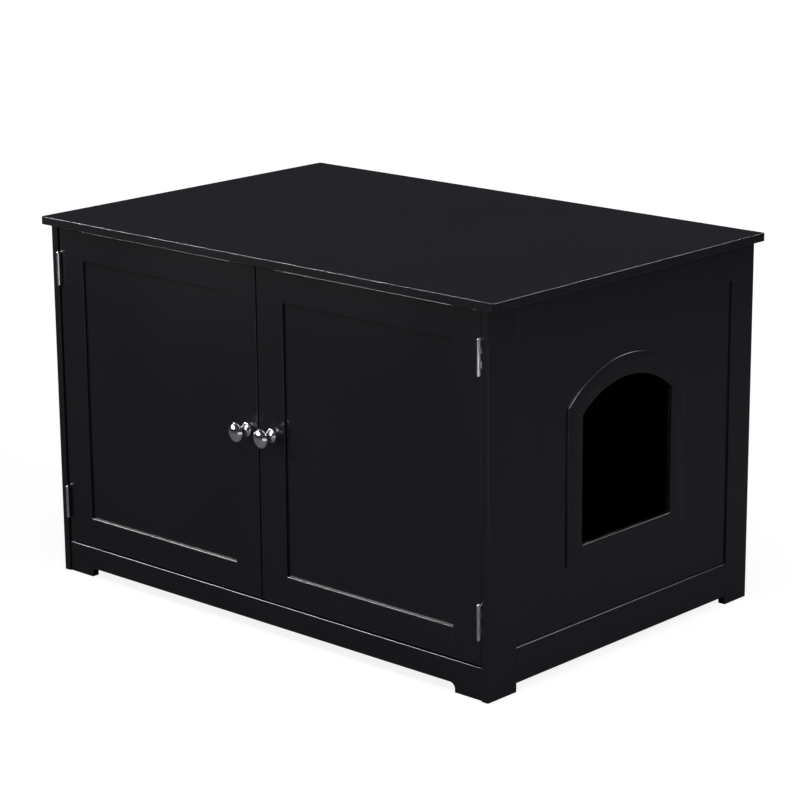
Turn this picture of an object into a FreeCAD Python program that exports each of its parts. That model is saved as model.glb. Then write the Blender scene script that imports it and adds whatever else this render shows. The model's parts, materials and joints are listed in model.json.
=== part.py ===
# Cat litter box cabinet: framed sides, one of them with an arched cat doorway, two framed
# doors on butt hinges, an apron with bracket feet and an overhanging top board.
#
# Frame: millimetres, +X to the right side (the one with the doorway), -Y to the doors, +Z up.
# The origin is on the floor, under the middle of everything from the knobs to the board's rear edge.
import FreeCAD, Part
import math
import os
import re
import Sketcher

# Driving sizes: name, value, what it measures.
SIZES = (
    ("body_width", 870, "between the outer faces of the two sides"),
    ("body_depth", 592, "sides, from front edge to rear edge"),
    ("carcass_height", 546, "floor to the underside of the top board"),
    ("board_thickness", 12, "top board"),
    ("side_overhang", 15, "top board past each side"),
    ("front_overhang", 7, "top board past the sides' front edges"),
    ("rear_overhang", 5, "top board past the sides' rear edges"),
    ("board_corner_round", 3, "upright corners of the top board"),
    ("board_edge_round", 2, "upper edge of the top board"),
    ("edge_round", 1.2, "eased edge of the frame pieces"),
    ("side_thickness", 12, "stiles and rails of the sides"),
    ("front_stile_width", 60, "also the depth of the front feet"),
    ("rear_stile_width", 52, "also the depth of the rear feet"),
    ("side_top_rail_height", 51, "side's top rail"),
    ("side_bottom_rail_height", 51.5, "side's bottom rail"),
    ("foot_clearance", 12.5, "floor to the side's bottom rail"),
    ("panel_thickness", 4, "panels of the sides and doors"),
    ("side_panel_recess", 5, "side's outer face to its panel"),
    ("tongue_length", 8, "depth of the grooves and length of the rails' tongues"),
    ("panel_play", 0.5, "panel edge to the bottom of its groove"),
    ("doorway_width", 201, "cat doorway between its jambs"),
    ("doorway_sill", 176, "floor to the doorway's sill"),
    ("doorway_jamb", 187.5, "straight height of the doorway"),
    ("doorway_rise", 37, "rise of the doorway's arch above its jambs"),
    ("trim_margin", 32, "width of the doorway's trim at the jambs and over the arch"),
    ("trim_sill_margin", 25.5, "width of the trim under the sill"),
    ("trim_thickness", 4.5, "trim, on the panel's outer face"),
    ("trim_edge_round", 1.5, "eased edges of the trim"),
    ("doorway_corner_round", 3, "corners of the doorway and its trim"),
    ("door_thickness", 15, "stiles and rails of the doors"),
    ("door_inset", 2.5, "doors and apron behind the sides' front edges"),
    ("door_centre_gap", 2.5, "between the two doors"),
    ("door_end_gap", 2.5, "above and below a door"),
    ("door_stile_width", 51, "all four door stiles"),
    ("door_top_rail_height", 46.5, "door's top rail"),
    ("door_bottom_rail_height", 45, "door's bottom rail"),
    ("door_panel_recess", 5.5, "door's face to its panel"),
    ("apron_height", 47.5, "floor to the apron's top edge"),
    ("apron_clearance", 13.5, "floor to the apron between its feet"),
    ("apron_thickness", 12, "apron"),
    ("apron_foot_width", 50, "each bracket foot of the apron"),
    ("apron_foot_round", 9, "hollow corner between foot and apron"),
    ("bottom_thickness", 12, "bottom board"),
    ("back_thickness", 4, "back panel"),
    ("back_setin", 12, "sides' rear edges to the back panel"),
    ("back_groove", 5, "depth of the back panel's grooves"),
    ("rear_rail_thickness", 12, "rail under the bottom board's rear edge"),
    ("stretcher_width", 60, "flat stretchers under the top board"),
    ("stretcher_thickness", 12, "flat stretchers"),
    ("stretcher_gap", 0.5, "closed doors to the front stretcher"),
    ("dowel_diameter", 6, "wooden dowels"),
    ("dowel_in_side", 8, "dowel length in a stile"),
    ("dowel_in_cross", 16, "dowel length in a crosspiece"),
    ("dowel_margin", 9, "dowels from the edges that they stand beside"),
    ("cam_diameter", 15, "cam locks in the bottom board"),
    ("cam_depth", 9.5, "cam pocket, from the board's underside"),
    ("cam_distance", 24, "side to the middle of a cam lock"),
    ("cam_setback", 120, "cam locks from the two stiles"),
    ("cam_bore", 7, "bore for the cam bolt's shank"),
    ("cam_bolt_diameter", 5, "cam bolt"),
    ("cam_bolt_neck", 3, "cam bolt inside the cam lock"),
    ("cam_bolt_head", 6, "head of the cam bolt"),
    ("cam_bolt_depth", 8, "cam bolt in the side's bottom rail"),
    ("board_screw_diameter", 4, "screws through the stretchers into the top board"),
    ("board_screw_head", 8, "countersunk head"),
    ("board_screw_length", 21, "board screws"),
    ("board_screw_spacing", 300, "between neighbouring board screws"),
    ("hinge_height", 50, "butt hinge"),
    ("hinge_from_door_end", 63, "door's end to the hinge's middle"),
    ("knuckle_count", 5, "knuckles of a hinge, an odd number"),
    ("knuckle_gap", 0.3, "between neighbouring knuckles"),
    ("barrel_diameter", 5, "knuckles"),
    ("barrel_from_side", 0.7, "side's inner face to the barrel"),
    ("barrel_proud", 2, "hinge axis in front of the sides' front edges"),
    ("pin_diameter", 2.4, "hinge pin"),
    ("pin_clearance", 0.05, "round the pin in the door leaf's knuckles"),
    ("pin_head_diameter", 4.2, "heads of the hinge pin"),
    ("pin_face_diameter", 3.4, "outer faces of those heads"),
    ("pin_head_height", 0.9, "heads of the hinge pin"),
    ("leaf_thickness", 1, "hinge leaves"),
    ("leaf_gap", 0.4, "between the closed leaves"),
    ("leaf_width", 18, "hinge axis to a leaf's rear edge"),
    ("leaf_notch", 0.3, "round the other leaf's knuckles"),
    ("leaf_corner_round", 1.5, "rear corners of a leaf"),
    ("hinge_screw_diameter", 3, "hinge screws"),
    ("hinge_screw_head", 5, "countersunk heads, as deep as the leaf"),
    ("hinge_screw_length", 10, "hinge screws"),
    ("hinge_screw_spacing", 30, "between the two screws of a leaf"),
    ("hinge_screw_setback", 11, "hinge axis to its screws"),
    ("knob_from_edge", 24, "door's meeting edge to the knob's axis"),
    ("knob_height", 300, "floor to the knob's axis"),
    ("knob_head_diameter", 28, "knob"),
    ("knob_projection", 28, "knob, from the door's face"),
    ("knob_dome", 5.5, "height of the knob's domed face"),
    ("knob_rim", 2.2, "width of the knob's rim"),
    ("knob_base_diameter", 20, "knob's foot on the door"),
    ("knob_base_rim", 1.5, "thickness of the foot at its edge"),
    ("knob_waist_diameter", 11, "narrowest part of the knob's stem"),
    ("knob_waist_round", 12, "hollow curve of the stem"),
    ("knob_bore_depth", 14, "threaded hole in the knob"),
    ("knob_screw_diameter", 4, "knob screw"),
    ("knob_screw_engagement", 12, "knob screw inside the knob"),
    ("knob_screw_head", 8, "head of the knob screw, on the door"),
    ("knob_screw_face", 6, "outer face of the same head"),
    ("knob_screw_head_height", 2.4, "head of the knob screw"),
    ("catch_offset", 30, "middle of the cabinet to a catch's middle"),
    ("catch_length", 46, "catch's screw flange"),
    ("catch_width", 14, "catch, front to rear"),
    ("catch_flange", 2.5, "thickness of the screw flange"),
    ("catch_height", 13, "catch, with its flange"),
    ("catch_body_length", 26, "catch's magnet housing"),
    ("catch_screw_diameter", 3, "catch screws"),
    ("catch_screw_head", 5.5, "catch screw heads"),
    ("catch_screw_head_height", 1.6, "catch screw heads"),
    ("catch_screw_length", 12, "catch screws, without their heads"),
    ("catch_screw_spacing", 36, "between the two screws of a catch"),
    ("magnet_length", 20, "magnet"),
    ("magnet_height", 7, "magnet"),
    ("magnet_depth", 8, "magnet, front to rear"),
    ("magnet_proud", 0.6, "magnet in front of its housing"),
    ("strike_gap", 0.3, "magnet to strike plate"),
    ("strike_length", 24, "strike plate"),
    ("strike_height", 11, "strike plate"),
    ("strike_thickness", 1, "strike plate"),
    ("strike_drop", 1.2, "front stretcher's underside to the strike plate"),
    ("strike_screw_diameter", 2.5, "strike plate's screw"),
    ("strike_screw_length", 9, "strike plate's screw in the door"),
)

doc = FreeCAD.newDocument("litter_cabinet")
sizes = doc.addObject("Spreadsheet::Sheet", "Sizes")
for row, (alias, size, note) in enumerate(SIZES, 1):
    sizes.set(f"A{row}", alias)
    sizes.set(f"B{row}", str(size))
    sizes.set(f"C{row}", note)
    sizes.setAlias(f"B{row}", alias)
doc.recompute()

ALIASES = {alias for alias, _, _ in SIZES}
WORD = re.compile(r"[a-z][a-z_]*")
PIECES = []
UP = FreeCAD.Vector(0, 0, 1)
# Sketcher's own numbers for the axes of a sketch and for the points of a line, an arc or a circle.
H_AXIS, V_AXIS = range(-1, -3, -1)
ORIGIN = H_AXIS
START, END, CENTRE = range(1, 4)
TINY = 1e-4


# ---------------------------------------------------------------- helpers: sizes

def formula(text):
    """An expression on the sheet's cells, from one written in plain size names."""
    return WORD.sub(lambda word: f"Sizes.{word[0]}" if word[0] in ALIASES else word[0], str(text))


def number(text):
    """What a formula measures with the sheet's present sizes."""
    return float(sizes.evalExpression(formula(text)))


# ---------------------------------------------------------------- helpers: sketches

def plane(body, role):
    """One of a body's own origin planes or axes."""
    return next(item for item in body.Origin.OriginFeatures if item.Role == role)


def sketch(body, name, role="XY_Plane", offset=None):
    """An empty sketch on a body's origin plane, moved along the plane's normal by offset."""
    drawing = body.newObject("Sketcher::SketchObject", f"{body.Label}_{name}")
    drawing.AttachmentSupport = (plane(body, role), [""])
    drawing.MapMode = "FlatFace"
    if offset is not None:
        drawing.setExpression("AttachmentOffset.Base.z", formula(offset))
    return drawing


def dimension(drawing, kind, *where, size):
    """A dimensional constraint whose value is a formula."""
    index = drawing.addConstraint(Sketcher.Constraint(kind, *where, number(size)))
    drawing.setExpression(f"Constraints[{index}]", formula(size))


def pin(drawing, geometry, point, x=None, y=None):
    """Hold a point at a distance from the sketch's axes, or on one of them where that is 0."""
    for kind, axis, size in (("DistanceX", V_AXIS, x), ("DistanceY", H_AXIS, y)):
        if size == "0":
            drawing.addConstraint(Sketcher.Constraint("PointOnObject", geometry, point, axis))
        elif size is not None:
            dimension(drawing, kind, ORIGIN, START, geometry, point, size=size)


def join(drawing, chain):
    """Join the ends of a closed chain of lines and arcs."""
    for this, following in zip(chain, chain[1:] + chain[:1]):
        drawing.addConstraint(Sketcher.Constraint("Coincident", this, END, following, START))


def polygon(drawing, corners):
    """A closed outline with each corner held by its own pair of formulas."""
    points = [FreeCAD.Vector(number(x), number(y), 0) for x, y in corners]
    chain = [drawing.addGeometry(Part.LineSegment(a, b)) for a, b in zip(points, points[1:] + points[:1])]
    join(drawing, chain)
    for line, (x, y) in zip(chain, corners):
        pin(drawing, line, START, x, y)


def rectangle(drawing, left, right, low, high):
    """An upright rectangle between four formulas."""
    x0, x1, y0, y1 = (number(size) for size in (left, right, low, high))
    points = [FreeCAD.Vector(x, y, 0) for x, y in ((x0, y0), (x1, y0), (x1, y1), (x0, y1))]
    chain = [drawing.addGeometry(Part.LineSegment(a, b)) for a, b in zip(points, points[1:] + points[:1])]
    join(drawing, chain)
    for line, kind in zip(chain, ("Horizontal", "Vertical", "Horizontal", "Vertical")):
        drawing.addConstraint(Sketcher.Constraint(kind, line))
    pin(drawing, chain[0], START, left, low)
    pin(drawing, chain[2], START, right, high)


def circle(drawing, x, y, diameter):
    """A circle held by its centre and diameter."""
    middle = FreeCAD.Vector(number(x), number(y), 0)
    ring = drawing.addGeometry(Part.Circle(middle, UP, number(diameter) / 2))
    pin(drawing, ring, CENTRE, x, y)
    dimension(drawing, "Diameter", ring, size=diameter)


def arch(drawing, half_width, low, centre, radius):
    """A doorway's outline about the upright axis: sill, two jambs and an arc over them."""
    x, z, c, r = (number(size) for size in (half_width, low, centre, radius))
    lean = math.acos(x / r)
    top = c + r * math.sin(lean)
    left_foot, right_foot = FreeCAD.Vector(-x, z, 0), FreeCAD.Vector(x, z, 0)
    left_head, right_head = FreeCAD.Vector(-x, top, 0), FreeCAD.Vector(x, top, 0)
    sill = drawing.addGeometry(Part.LineSegment(left_foot, right_foot))
    right = drawing.addGeometry(Part.LineSegment(right_foot, right_head))
    ring = Part.Circle(FreeCAD.Vector(0, c, 0), UP, r)
    bow = drawing.addGeometry(Part.ArcOfCircle(ring, lean, math.pi - lean))
    left = drawing.addGeometry(Part.LineSegment(left_head, left_foot))
    join(drawing, [sill, right, bow, left])
    drawing.addConstraint(Sketcher.Constraint("Symmetric", sill, START, sill, END, V_AXIS))
    drawing.addConstraint(Sketcher.Constraint("Vertical", right))
    drawing.addConstraint(Sketcher.Constraint("Vertical", left))
    pin(drawing, sill, END, half_width, low)
    pin(drawing, bow, CENTRE, "0", centre)
    dimension(drawing, "Radius", bow, size=radius)


# ---------------------------------------------------------------- helpers: features

def piece(label, x="0", y="0", z="0"):
    """A sub-part: a body with its own name and place."""
    body = doc.addObject("PartDesign::Body", label)
    body.Label = label
    for axis, place in (("x", x), ("y", y), ("z", z)):
        if place != "0":
            body.setExpression(f"Placement.Base.{axis}", formula(place))
    PIECES.append(body)
    return body


def extrude(kind, drawing, length, backwards, taper=None):
    body = drawing.getParentGeoFeatureGroup()
    feature = body.newObject(f"PartDesign::{kind}", f"{drawing.Name}_{kind.lower()}")
    feature.Profile = drawing
    feature.Reversed = backwards
    feature.setExpression("Length", formula(length))
    if taper is not None:
        feature.setExpression("TaperAngle", formula(taper))
    return feature


def pad(drawing, length, backwards=False, taper=None):
    """Wood or metal added along the sketch's normal, or against it."""
    return extrude("Pad", drawing, length, backwards, taper)


def pocket(drawing, depth, forwards=False, taper=None):
    """Cut against the sketch's normal, or along it where forwards is set."""
    return extrude("Pocket", drawing, depth, forwards, taper)


def block(body, name, x, y, z, cut=False):
    """Add or cut an upright block between three pairs of formulas."""
    drawing = sketch(body, name, offset=z[0])
    rectangle(drawing, *x, *y)
    height = f"({z[1]}) - ({z[0]})"
    return pocket(drawing, height, forwards=True) if cut else pad(drawing, height)


def drill(body, name, role, offset, places, diameter, depth, forwards=False):
    """Round holes of one size, from a plane of the body."""
    drawing = sketch(body, name, role, offset)
    for x, y in places:
        circle(drawing, x, y, diameter)
    return pocket(drawing, depth, forwards)


def mirrored(body, features, role="YZ_Plane"):
    """Repeat features on the other side of one of the body's planes."""
    feature = body.newObject("PartDesign::Mirrored", f"{features[0].Name}_mirrored")
    feature.Originals = features
    feature.MirrorPlane = (plane(body, role), [""])
    body.Tip = feature


def along(axis, *tests):
    """Choose straight edges that run along an axis and pass one of the tests."""
    direction = FreeCAD.Vector(*(float(axis == letter) for letter in "xyz"))

    def chosen(edge):
        if not isinstance(edge.Curve, Part.Line):
            return False
        ends = [vertex.Point for vertex in edge.Vertexes]
        parallel = abs(abs((ends[1] - ends[0]).normalize().dot(direction)) - 1) < TINY
        return parallel and any(test(edge) for test in tests)
    return chosen


def at(**places):
    """Test for an edge whose ends lie at the given coordinates."""
    targets = [("xyz".index(axis), number(place)) for axis, place in places.items()]

    def passed(edge):
        return all(abs(vertex.Point[index] - place) < TINY
                   for vertex in edge.Vertexes for index, place in targets)
    return passed


def round_edges(body, radius, test):
    """Fillet the edges of a body's present shape that pass a test."""
    doc.recompute()
    base = body.Tip
    names = [f"Edge{i}" for i, edge in enumerate(base.Shape.Edges, 1) if test(edge)]
    feature = body.newObject("PartDesign::Fillet", f"{body.Label}_round")
    feature.Base = (base, names)
    feature.setExpression("Radius", formula(radius))
    body.Tip = feature
    return feature


def cone(wide, narrow, height):
    """The taper of a round step that narrows from one diameter to another over a height."""
    return f"-atan(({wide} - {narrow}) / 2 / {height})"


def twin(source):
    """The right-hand copy of a left-hand piece, mirrored in the cabinet's middle plane."""
    label = source.Label.replace("left", "right")
    copy = doc.addObject("Part::Mirroring", label)
    copy.Label = label
    copy.Source = source
    copy.Normal = FreeCAD.Vector(1, 0, 0)
    PIECES.append(copy)
    return copy


# ---------------------------------------------------------------- places shared by the pieces

LEFT = "(-body_width / 2)"
FRONT = "(-(body_depth + rear_overhang + door_inset - knob_projection) / 2)"
INNER = "(body_width / 2 - side_thickness)"

SIDE_OPENING = "(body_depth - front_stile_width - rear_stile_width)"
SIDE_MIDDLE = f"({FRONT} + front_stile_width + {SIDE_OPENING} / 2)"
PANEL_SEAT = "(tongue_length - panel_play)"
GROOVE = ("side_panel_recess", "side_panel_recess + panel_thickness")

BACK_FACE = "(body_depth - back_setin - back_thickness)"
BOTTOM_FRONT = "(door_inset + apron_thickness)"
BOTTOM_UNDERSIDE = "(apron_height - bottom_thickness)"
CAM_HEIGHT = f"({BOTTOM_UNDERSIDE} + bottom_thickness / 2)"
STRETCHER_FRONT = "(door_inset + door_thickness + stretcher_gap)"
STRETCHER_UNDERSIDE = "(carcass_height - stretcher_thickness)"

DOOR_GAP = "(2 * leaf_thickness + leaf_gap)"
DOOR_WIDTH = f"({INNER} - {DOOR_GAP} - door_centre_gap / 2)"
DOOR_BOTTOM = "(apron_height + door_end_gap)"
DOOR_HEIGHT = f"(carcass_height - door_end_gap - {DOOR_BOTTOM})"
DOOR_GROOVE = ("door_panel_recess", "door_panel_recess + panel_thickness")

HINGE_PLACES = {
    "lower": f"({DOOR_BOTTOM} + hinge_from_door_end)",
    "upper": f"({DOOR_BOTTOM} + {DOOR_HEIGHT} - hinge_from_door_end)",
}
HINGE_SCREW_HEIGHTS = [f"({middle} {sign} hinge_screw_spacing / 2)"
                       for middle in HINGE_PLACES.values() for sign in "-+"]

HINGE_TAPER = cone("hinge_screw_head", "hinge_screw_diameter", "leaf_thickness")

# Dowels: depth from the sides' front edges and height above the floor.
STRETCHER_DOWEL_HEIGHT = "(carcass_height - stretcher_thickness / 2)"
REAR_STILE_FRONT = "(body_depth - rear_stile_width)"
FRONT_STRETCHER_DOWELS = [(f"({STRETCHER_FRONT} + dowel_margin)", STRETCHER_DOWEL_HEIGHT),
                          ("(front_stile_width - tongue_length - dowel_margin / 2)", STRETCHER_DOWEL_HEIGHT)]
REAR_STRETCHER_DOWELS = [(f"({REAR_STILE_FRONT} + tongue_length + dowel_margin / 2)", STRETCHER_DOWEL_HEIGHT),
                         (f"({BACK_FACE} - dowel_margin)", STRETCHER_DOWEL_HEIGHT)]
APRON_DOWELS = [("(door_inset + apron_thickness / 2)", "(apron_height / 2 - dowel_margin)"),
                ("(door_inset + apron_thickness / 2)", "(apron_height / 2 + dowel_margin)")]
REAR_RAIL_DOWELS = [(f"({BACK_FACE} - rear_rail_thickness / 2)",
                     f"((foot_clearance + {BOTTOM_UNDERSIDE}) / 2)")]
CAM_DEPTHS = ["(front_stile_width + cam_setback)", f"({REAR_STILE_FRONT} - cam_setback)"]
CAM_PLACES = [(depth, CAM_HEIGHT) for depth in CAM_DEPTHS]


def moved(places, depth, height="0"):
    """Places of holes, measured from a piece's own corner."""
    return [(f"({y} - {depth})", f"({z} - {height})") for y, z in places]


# ---------------------------------------------------------------- sides (modelled left, mirrored right)

def side_stile(label, depth, width, groove, hinge_side):
    body = piece(label, LEFT, f"{FRONT} + {depth}")
    block(body, "board", ("0", "side_thickness"), ("0", width), ("0", "carcass_height"))
    block(body, "panel_groove", GROOVE, groove, ("foot_clearance", "carcass_height"), cut=True)
    if hinge_side:
        dowels = FRONT_STRETCHER_DOWELS + APRON_DOWELS
        screws = [("hinge_screw_setback - barrel_proud", height) for height in HINGE_SCREW_HEIGHTS]
        drill(body, "screw_holes", "YZ_Plane", "side_thickness", screws, "hinge_screw_diameter",
              "hinge_screw_length - leaf_thickness")
    else:
        dowels = REAR_STRETCHER_DOWELS + REAR_RAIL_DOWELS
        back = (f"{BACK_FACE} - {depth}", f"{BACK_FACE} + back_thickness - {depth}")
        block(body, "back_groove", ("side_thickness - back_groove", "side_thickness"), back,
              ("foot_clearance", "carcass_height"), cut=True)
    drill(body, "dowel_holes", "YZ_Plane", "side_thickness", moved(dowels, depth), "dowel_diameter",
          "dowel_in_side")
    visible = [at(x="0")]
    if hinge_side:
        visible.append(at(y="0"))
    round_edges(body, "edge_round", along("z", *visible))
    return body


def side_rail(label, low, height, groove, cams=()):
    body = piece(label, LEFT, f"{FRONT} + front_stile_width", low)
    tongued = ("-tongue_length", f"{SIDE_OPENING} + tongue_length")
    block(body, "board", ("0", "side_thickness"), ("0", SIDE_OPENING), ("0", height))
    block(body, "tongues", GROOVE, tongued, ("0", height))
    block(body, "panel_groove", GROOVE, tongued, groove, cut=True)
    if cams:
        drill(body, "bolt_holes", "YZ_Plane", "side_thickness", moved(cams, "front_stile_width", low),
              "cam_bolt_diameter", "cam_bolt_depth")
    round_edges(body, "edge_round", along("y", at(x="0")))
    return body


def side_panel(label, x):
    """A panel in its grooves; its upright axis is the middle of the side's opening."""
    body = piece(label, x, SIDE_MIDDLE)
    drawing = sketch(body, "outline", "YZ_Plane")
    half = f"({SIDE_OPENING} / 2 + {PANEL_SEAT})"
    rectangle(drawing, f"-{half}", half, f"foot_clearance + side_bottom_rail_height - {PANEL_SEAT}",
              f"carcass_height - side_top_rail_height + {PANEL_SEAT}")
    return body, drawing


left_front_stile = side_stile("left_front_stile", "0", "front_stile_width",
                              ("front_stile_width - tongue_length", "front_stile_width"), True)
left_rear_stile = side_stile("left_rear_stile", REAR_STILE_FRONT, "rear_stile_width",
                             ("0", "tongue_length"), False)
left_top_rail = side_rail("left_side_top_rail", "carcass_height - side_top_rail_height",
                          "side_top_rail_height", ("0", "tongue_length"))
left_bottom_rail = side_rail("left_side_bottom_rail", "foot_clearance", "side_bottom_rail_height",
                             ("side_bottom_rail_height - tongue_length", "side_bottom_rail_height"), CAM_PLACES)
for master in (left_front_stile, left_rear_stile, left_top_rail, left_bottom_rail):
    twin(master)

_, panel_outline = side_panel("left_side_panel", f"{LEFT} + side_panel_recess")
pad(panel_outline, "panel_thickness")

DOORWAY_RADIUS = "((doorway_width ^ 2 / 4 + doorway_rise ^ 2) / (2 * doorway_rise))"
DOORWAY_CENTRE = f"(doorway_sill + doorway_jamb + doorway_rise - {DOORWAY_RADIUS})"

right_panel, panel_outline = side_panel("right_side_panel", "body_width / 2 - side_panel_recess - panel_thickness")
arch(panel_outline, "doorway_width / 2", "doorway_sill", DOORWAY_CENTRE, DOORWAY_RADIUS)
pad(panel_outline, "panel_thickness")
round_edges(right_panel, "doorway_corner_round", along("x", at(y="doorway_width / 2"), at(y="-doorway_width / 2")))

# The trim's arc shares its centre with the doorway's, so its margin is the same all round.
doorway_trim = piece("doorway_trim", "body_width / 2 - side_panel_recess", SIDE_MIDDLE)
trim_outline = sketch(doorway_trim, "outline", "YZ_Plane")
arch(trim_outline, "doorway_width / 2 + trim_margin", "doorway_sill - trim_sill_margin", DOORWAY_CENTRE,
     f"{DOORWAY_RADIUS} + trim_margin")
arch(trim_outline, "doorway_width / 2", "doorway_sill", DOORWAY_CENTRE, DOORWAY_RADIUS)
pad(trim_outline, "trim_thickness")
round_edges(doorway_trim, "doorway_corner_round", along("x", lambda edge: True))
round_edges(doorway_trim, "trim_edge_round", at(x="trim_thickness"))


# ---------------------------------------------------------------- boards between the sides

SPAN = (f"-{INNER}", INNER)


def end_dowel_holes(body, places, depth, height):
    """Dowel holes in both ends of a crosspiece."""
    holes = drill(body, "dowel_holes", "YZ_Plane", INNER, moved(places, depth, height),
                  "dowel_diameter", "dowel_in_cross")
    mirrored(body, [holes])


front_apron = piece("front_apron", "0", f"{FRONT} + door_inset")
block(front_apron, "board", SPAN, ("0", "apron_thickness"), ("0", "apron_height"))
foot_end = f"({INNER} - apron_foot_width)"
block(front_apron, "toe_gap", (f"-{foot_end}", foot_end), ("0", "apron_thickness"),
      ("0", "apron_clearance"), cut=True)
end_dowel_holes(front_apron, APRON_DOWELS, "door_inset", "0")
round_edges(front_apron, "apron_foot_round",
            along("y", at(x=foot_end, z="apron_clearance"), at(x=f"-{foot_end}", z="apron_clearance")))
round_edges(front_apron, "edge_round", along("x", at(y="0", z="apron_height")))

bottom_board = piece("bottom_board", "0", f"{FRONT} + {BOTTOM_FRONT}", BOTTOM_UNDERSIDE)
block(bottom_board, "board", SPAN, ("0", f"{BACK_FACE} - {BOTTOM_FRONT}"), ("0", "bottom_thickness"))
cam_spots = [(f"{sign}({INNER} - cam_distance)", f"{depth} - {BOTTOM_FRONT}")
             for depth in CAM_DEPTHS for sign in ("", "-")]
drill(bottom_board, "cam_pockets", "XY_Plane", None, cam_spots, "cam_diameter", "cam_depth", forwards=True)
bolt_bores = drill(bottom_board, "bolt_bores", "YZ_Plane", INNER,
                   moved(CAM_PLACES, BOTTOM_FRONT, BOTTOM_UNDERSIDE), "cam_bore", "cam_distance")
mirrored(bottom_board, [bolt_bores])

rear_rail = piece("rear_bottom_rail", "0", f"{FRONT} + {BACK_FACE} - rear_rail_thickness", "foot_clearance")
block(rear_rail, "board", SPAN, ("0", "rear_rail_thickness"), ("0", f"{BOTTOM_UNDERSIDE} - foot_clearance"))
end_dowel_holes(rear_rail, REAR_RAIL_DOWELS, f"({BACK_FACE} - rear_rail_thickness)", "foot_clearance")

back_panel = piece("back_panel", "0", f"{FRONT} + {BACK_FACE}")
back_half = f"({INNER} + back_groove - panel_play)"
block(back_panel, "board", (f"-{back_half}", back_half), ("0", "back_thickness"),
      ("foot_clearance", "carcass_height"))

BOARD_SCREW_COLUMNS = ("-board_screw_spacing", "0", "board_screw_spacing")
BOARD_SCREW_SINK = "((board_screw_head - board_screw_diameter) / 2)"
STRETCHER_TAPER = cone("board_screw_head", "board_screw_diameter", BOARD_SCREW_SINK)
CATCH_SCREWS = [f"{side}catch_offset {sign} catch_screw_spacing / 2"
                for side in ("", "-") for sign in "-+"]


def stretcher(label, depth, dowels, catch_screws=()):
    """A flat rail under the top board, with countersunk holes for the board screws."""
    body = piece(label, "0", f"{FRONT} + {depth}", STRETCHER_UNDERSIDE)
    block(body, "board", SPAN, ("0", "stretcher_width"), ("0", "stretcher_thickness"))
    end_dowel_holes(body, dowels, depth, STRETCHER_UNDERSIDE)
    places = [(x, "stretcher_width / 2") for x in BOARD_SCREW_COLUMNS]
    drill(body, "screw_holes", "XY_Plane", None, places, "board_screw_diameter", "stretcher_thickness",
          forwards=True)
    sinks = sketch(body, "screw_sinks")
    for x, y in places:
        circle(sinks, x, y, "board_screw_head")
    pocket(sinks, BOARD_SCREW_SINK, forwards=True, taper=STRETCHER_TAPER)
    if catch_screws:
        drill(body, "catch_holes", "XY_Plane", None, catch_screws, "catch_screw_diameter",
              "catch_screw_length - catch_flange", forwards=True)
    return body


CATCH_FRONT = "(door_inset + door_thickness + strike_thickness + strike_gap + magnet_proud)"
stretcher("front_stretcher", STRETCHER_FRONT, FRONT_STRETCHER_DOWELS,
          [(x, f"{CATCH_FRONT} + catch_width / 2 - {STRETCHER_FRONT}") for x in CATCH_SCREWS])
stretcher("rear_stretcher", f"({BACK_FACE} - stretcher_width)", REAR_STRETCHER_DOWELS)

top_board = piece("top_board", "0", FRONT, "carcass_height")
half_board = "(body_width / 2 + side_overhang)"
block(top_board, "board", (f"-{half_board}", half_board), ("-front_overhang", "body_depth + rear_overhang"),
      ("0", "board_thickness"))
board_screw_rows = (f"{STRETCHER_FRONT} + stretcher_width / 2", f"{BACK_FACE} - stretcher_width / 2")
board_screw_places = [(x, y) for y in board_screw_rows for x in BOARD_SCREW_COLUMNS]
drill(top_board, "screw_holes", "XY_Plane", None, board_screw_places, "board_screw_diameter",
      "board_screw_length - stretcher_thickness", forwards=True)
round_edges(top_board, "board_corner_round",
            along("z", at(x=half_board), at(x=f"-{half_board}")))
round_edges(top_board, "board_edge_round", at(z="board_thickness"))


# ---------------------------------------------------------------- fastenings of the carcass

dowels = piece("dowels", "0", FRONT)
all_dowels = FRONT_STRETCHER_DOWELS + REAR_STRETCHER_DOWELS + APRON_DOWELS + REAR_RAIL_DOWELS
dowel_outline = sketch(dowels, "outline", "YZ_Plane", f"{INNER} + dowel_in_side")
for y, z in all_dowels:
    circle(dowel_outline, y, z, "dowel_diameter")
mirrored(dowels, [pad(dowel_outline, "dowel_in_side + dowel_in_cross", backwards=True)])

cam_bolts = piece("cam_bolts", "0", FRONT)
bolt_steps = (("shank", f"{INNER} + cam_bolt_depth", "cam_bolt_diameter",
               "cam_bolt_depth + cam_distance - cam_diameter / 2"),
              ("neck", f"{INNER} - cam_distance + cam_diameter / 2", "cam_bolt_neck", "cam_diameter / 4"),
              ("head", f"{INNER} - cam_distance + cam_diameter / 4", "cam_bolt_head", "cam_diameter / 4"))
bolt_pads = []
for name, start, diameter, length in bolt_steps:
    drawing = sketch(cam_bolts, name, "YZ_Plane", start)
    for y, z in CAM_PLACES:
        circle(drawing, y, z, diameter)
    bolt_pads.append(pad(drawing, length, backwards=True))
mirrored(cam_bolts, bolt_pads)

# Each cam lock is a disc with a bore that the bolt's neck and head pass into.
cam_locks = piece("cam_locks", "0", FRONT, BOTTOM_UNDERSIDE)
cam_outline = sketch(cam_locks, "discs")
for depth in CAM_DEPTHS:
    circle(cam_outline, f"{INNER} - cam_distance", depth, "cam_diameter")
cam_discs = pad(cam_outline, "cam_depth")
cam_bores = drill(cam_locks, "bores", "YZ_Plane", INNER,
                  moved(CAM_PLACES, "0", BOTTOM_UNDERSIDE), "cam_bolt_head", "cam_distance")
mirrored(cam_locks, [cam_discs, cam_bores])

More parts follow.
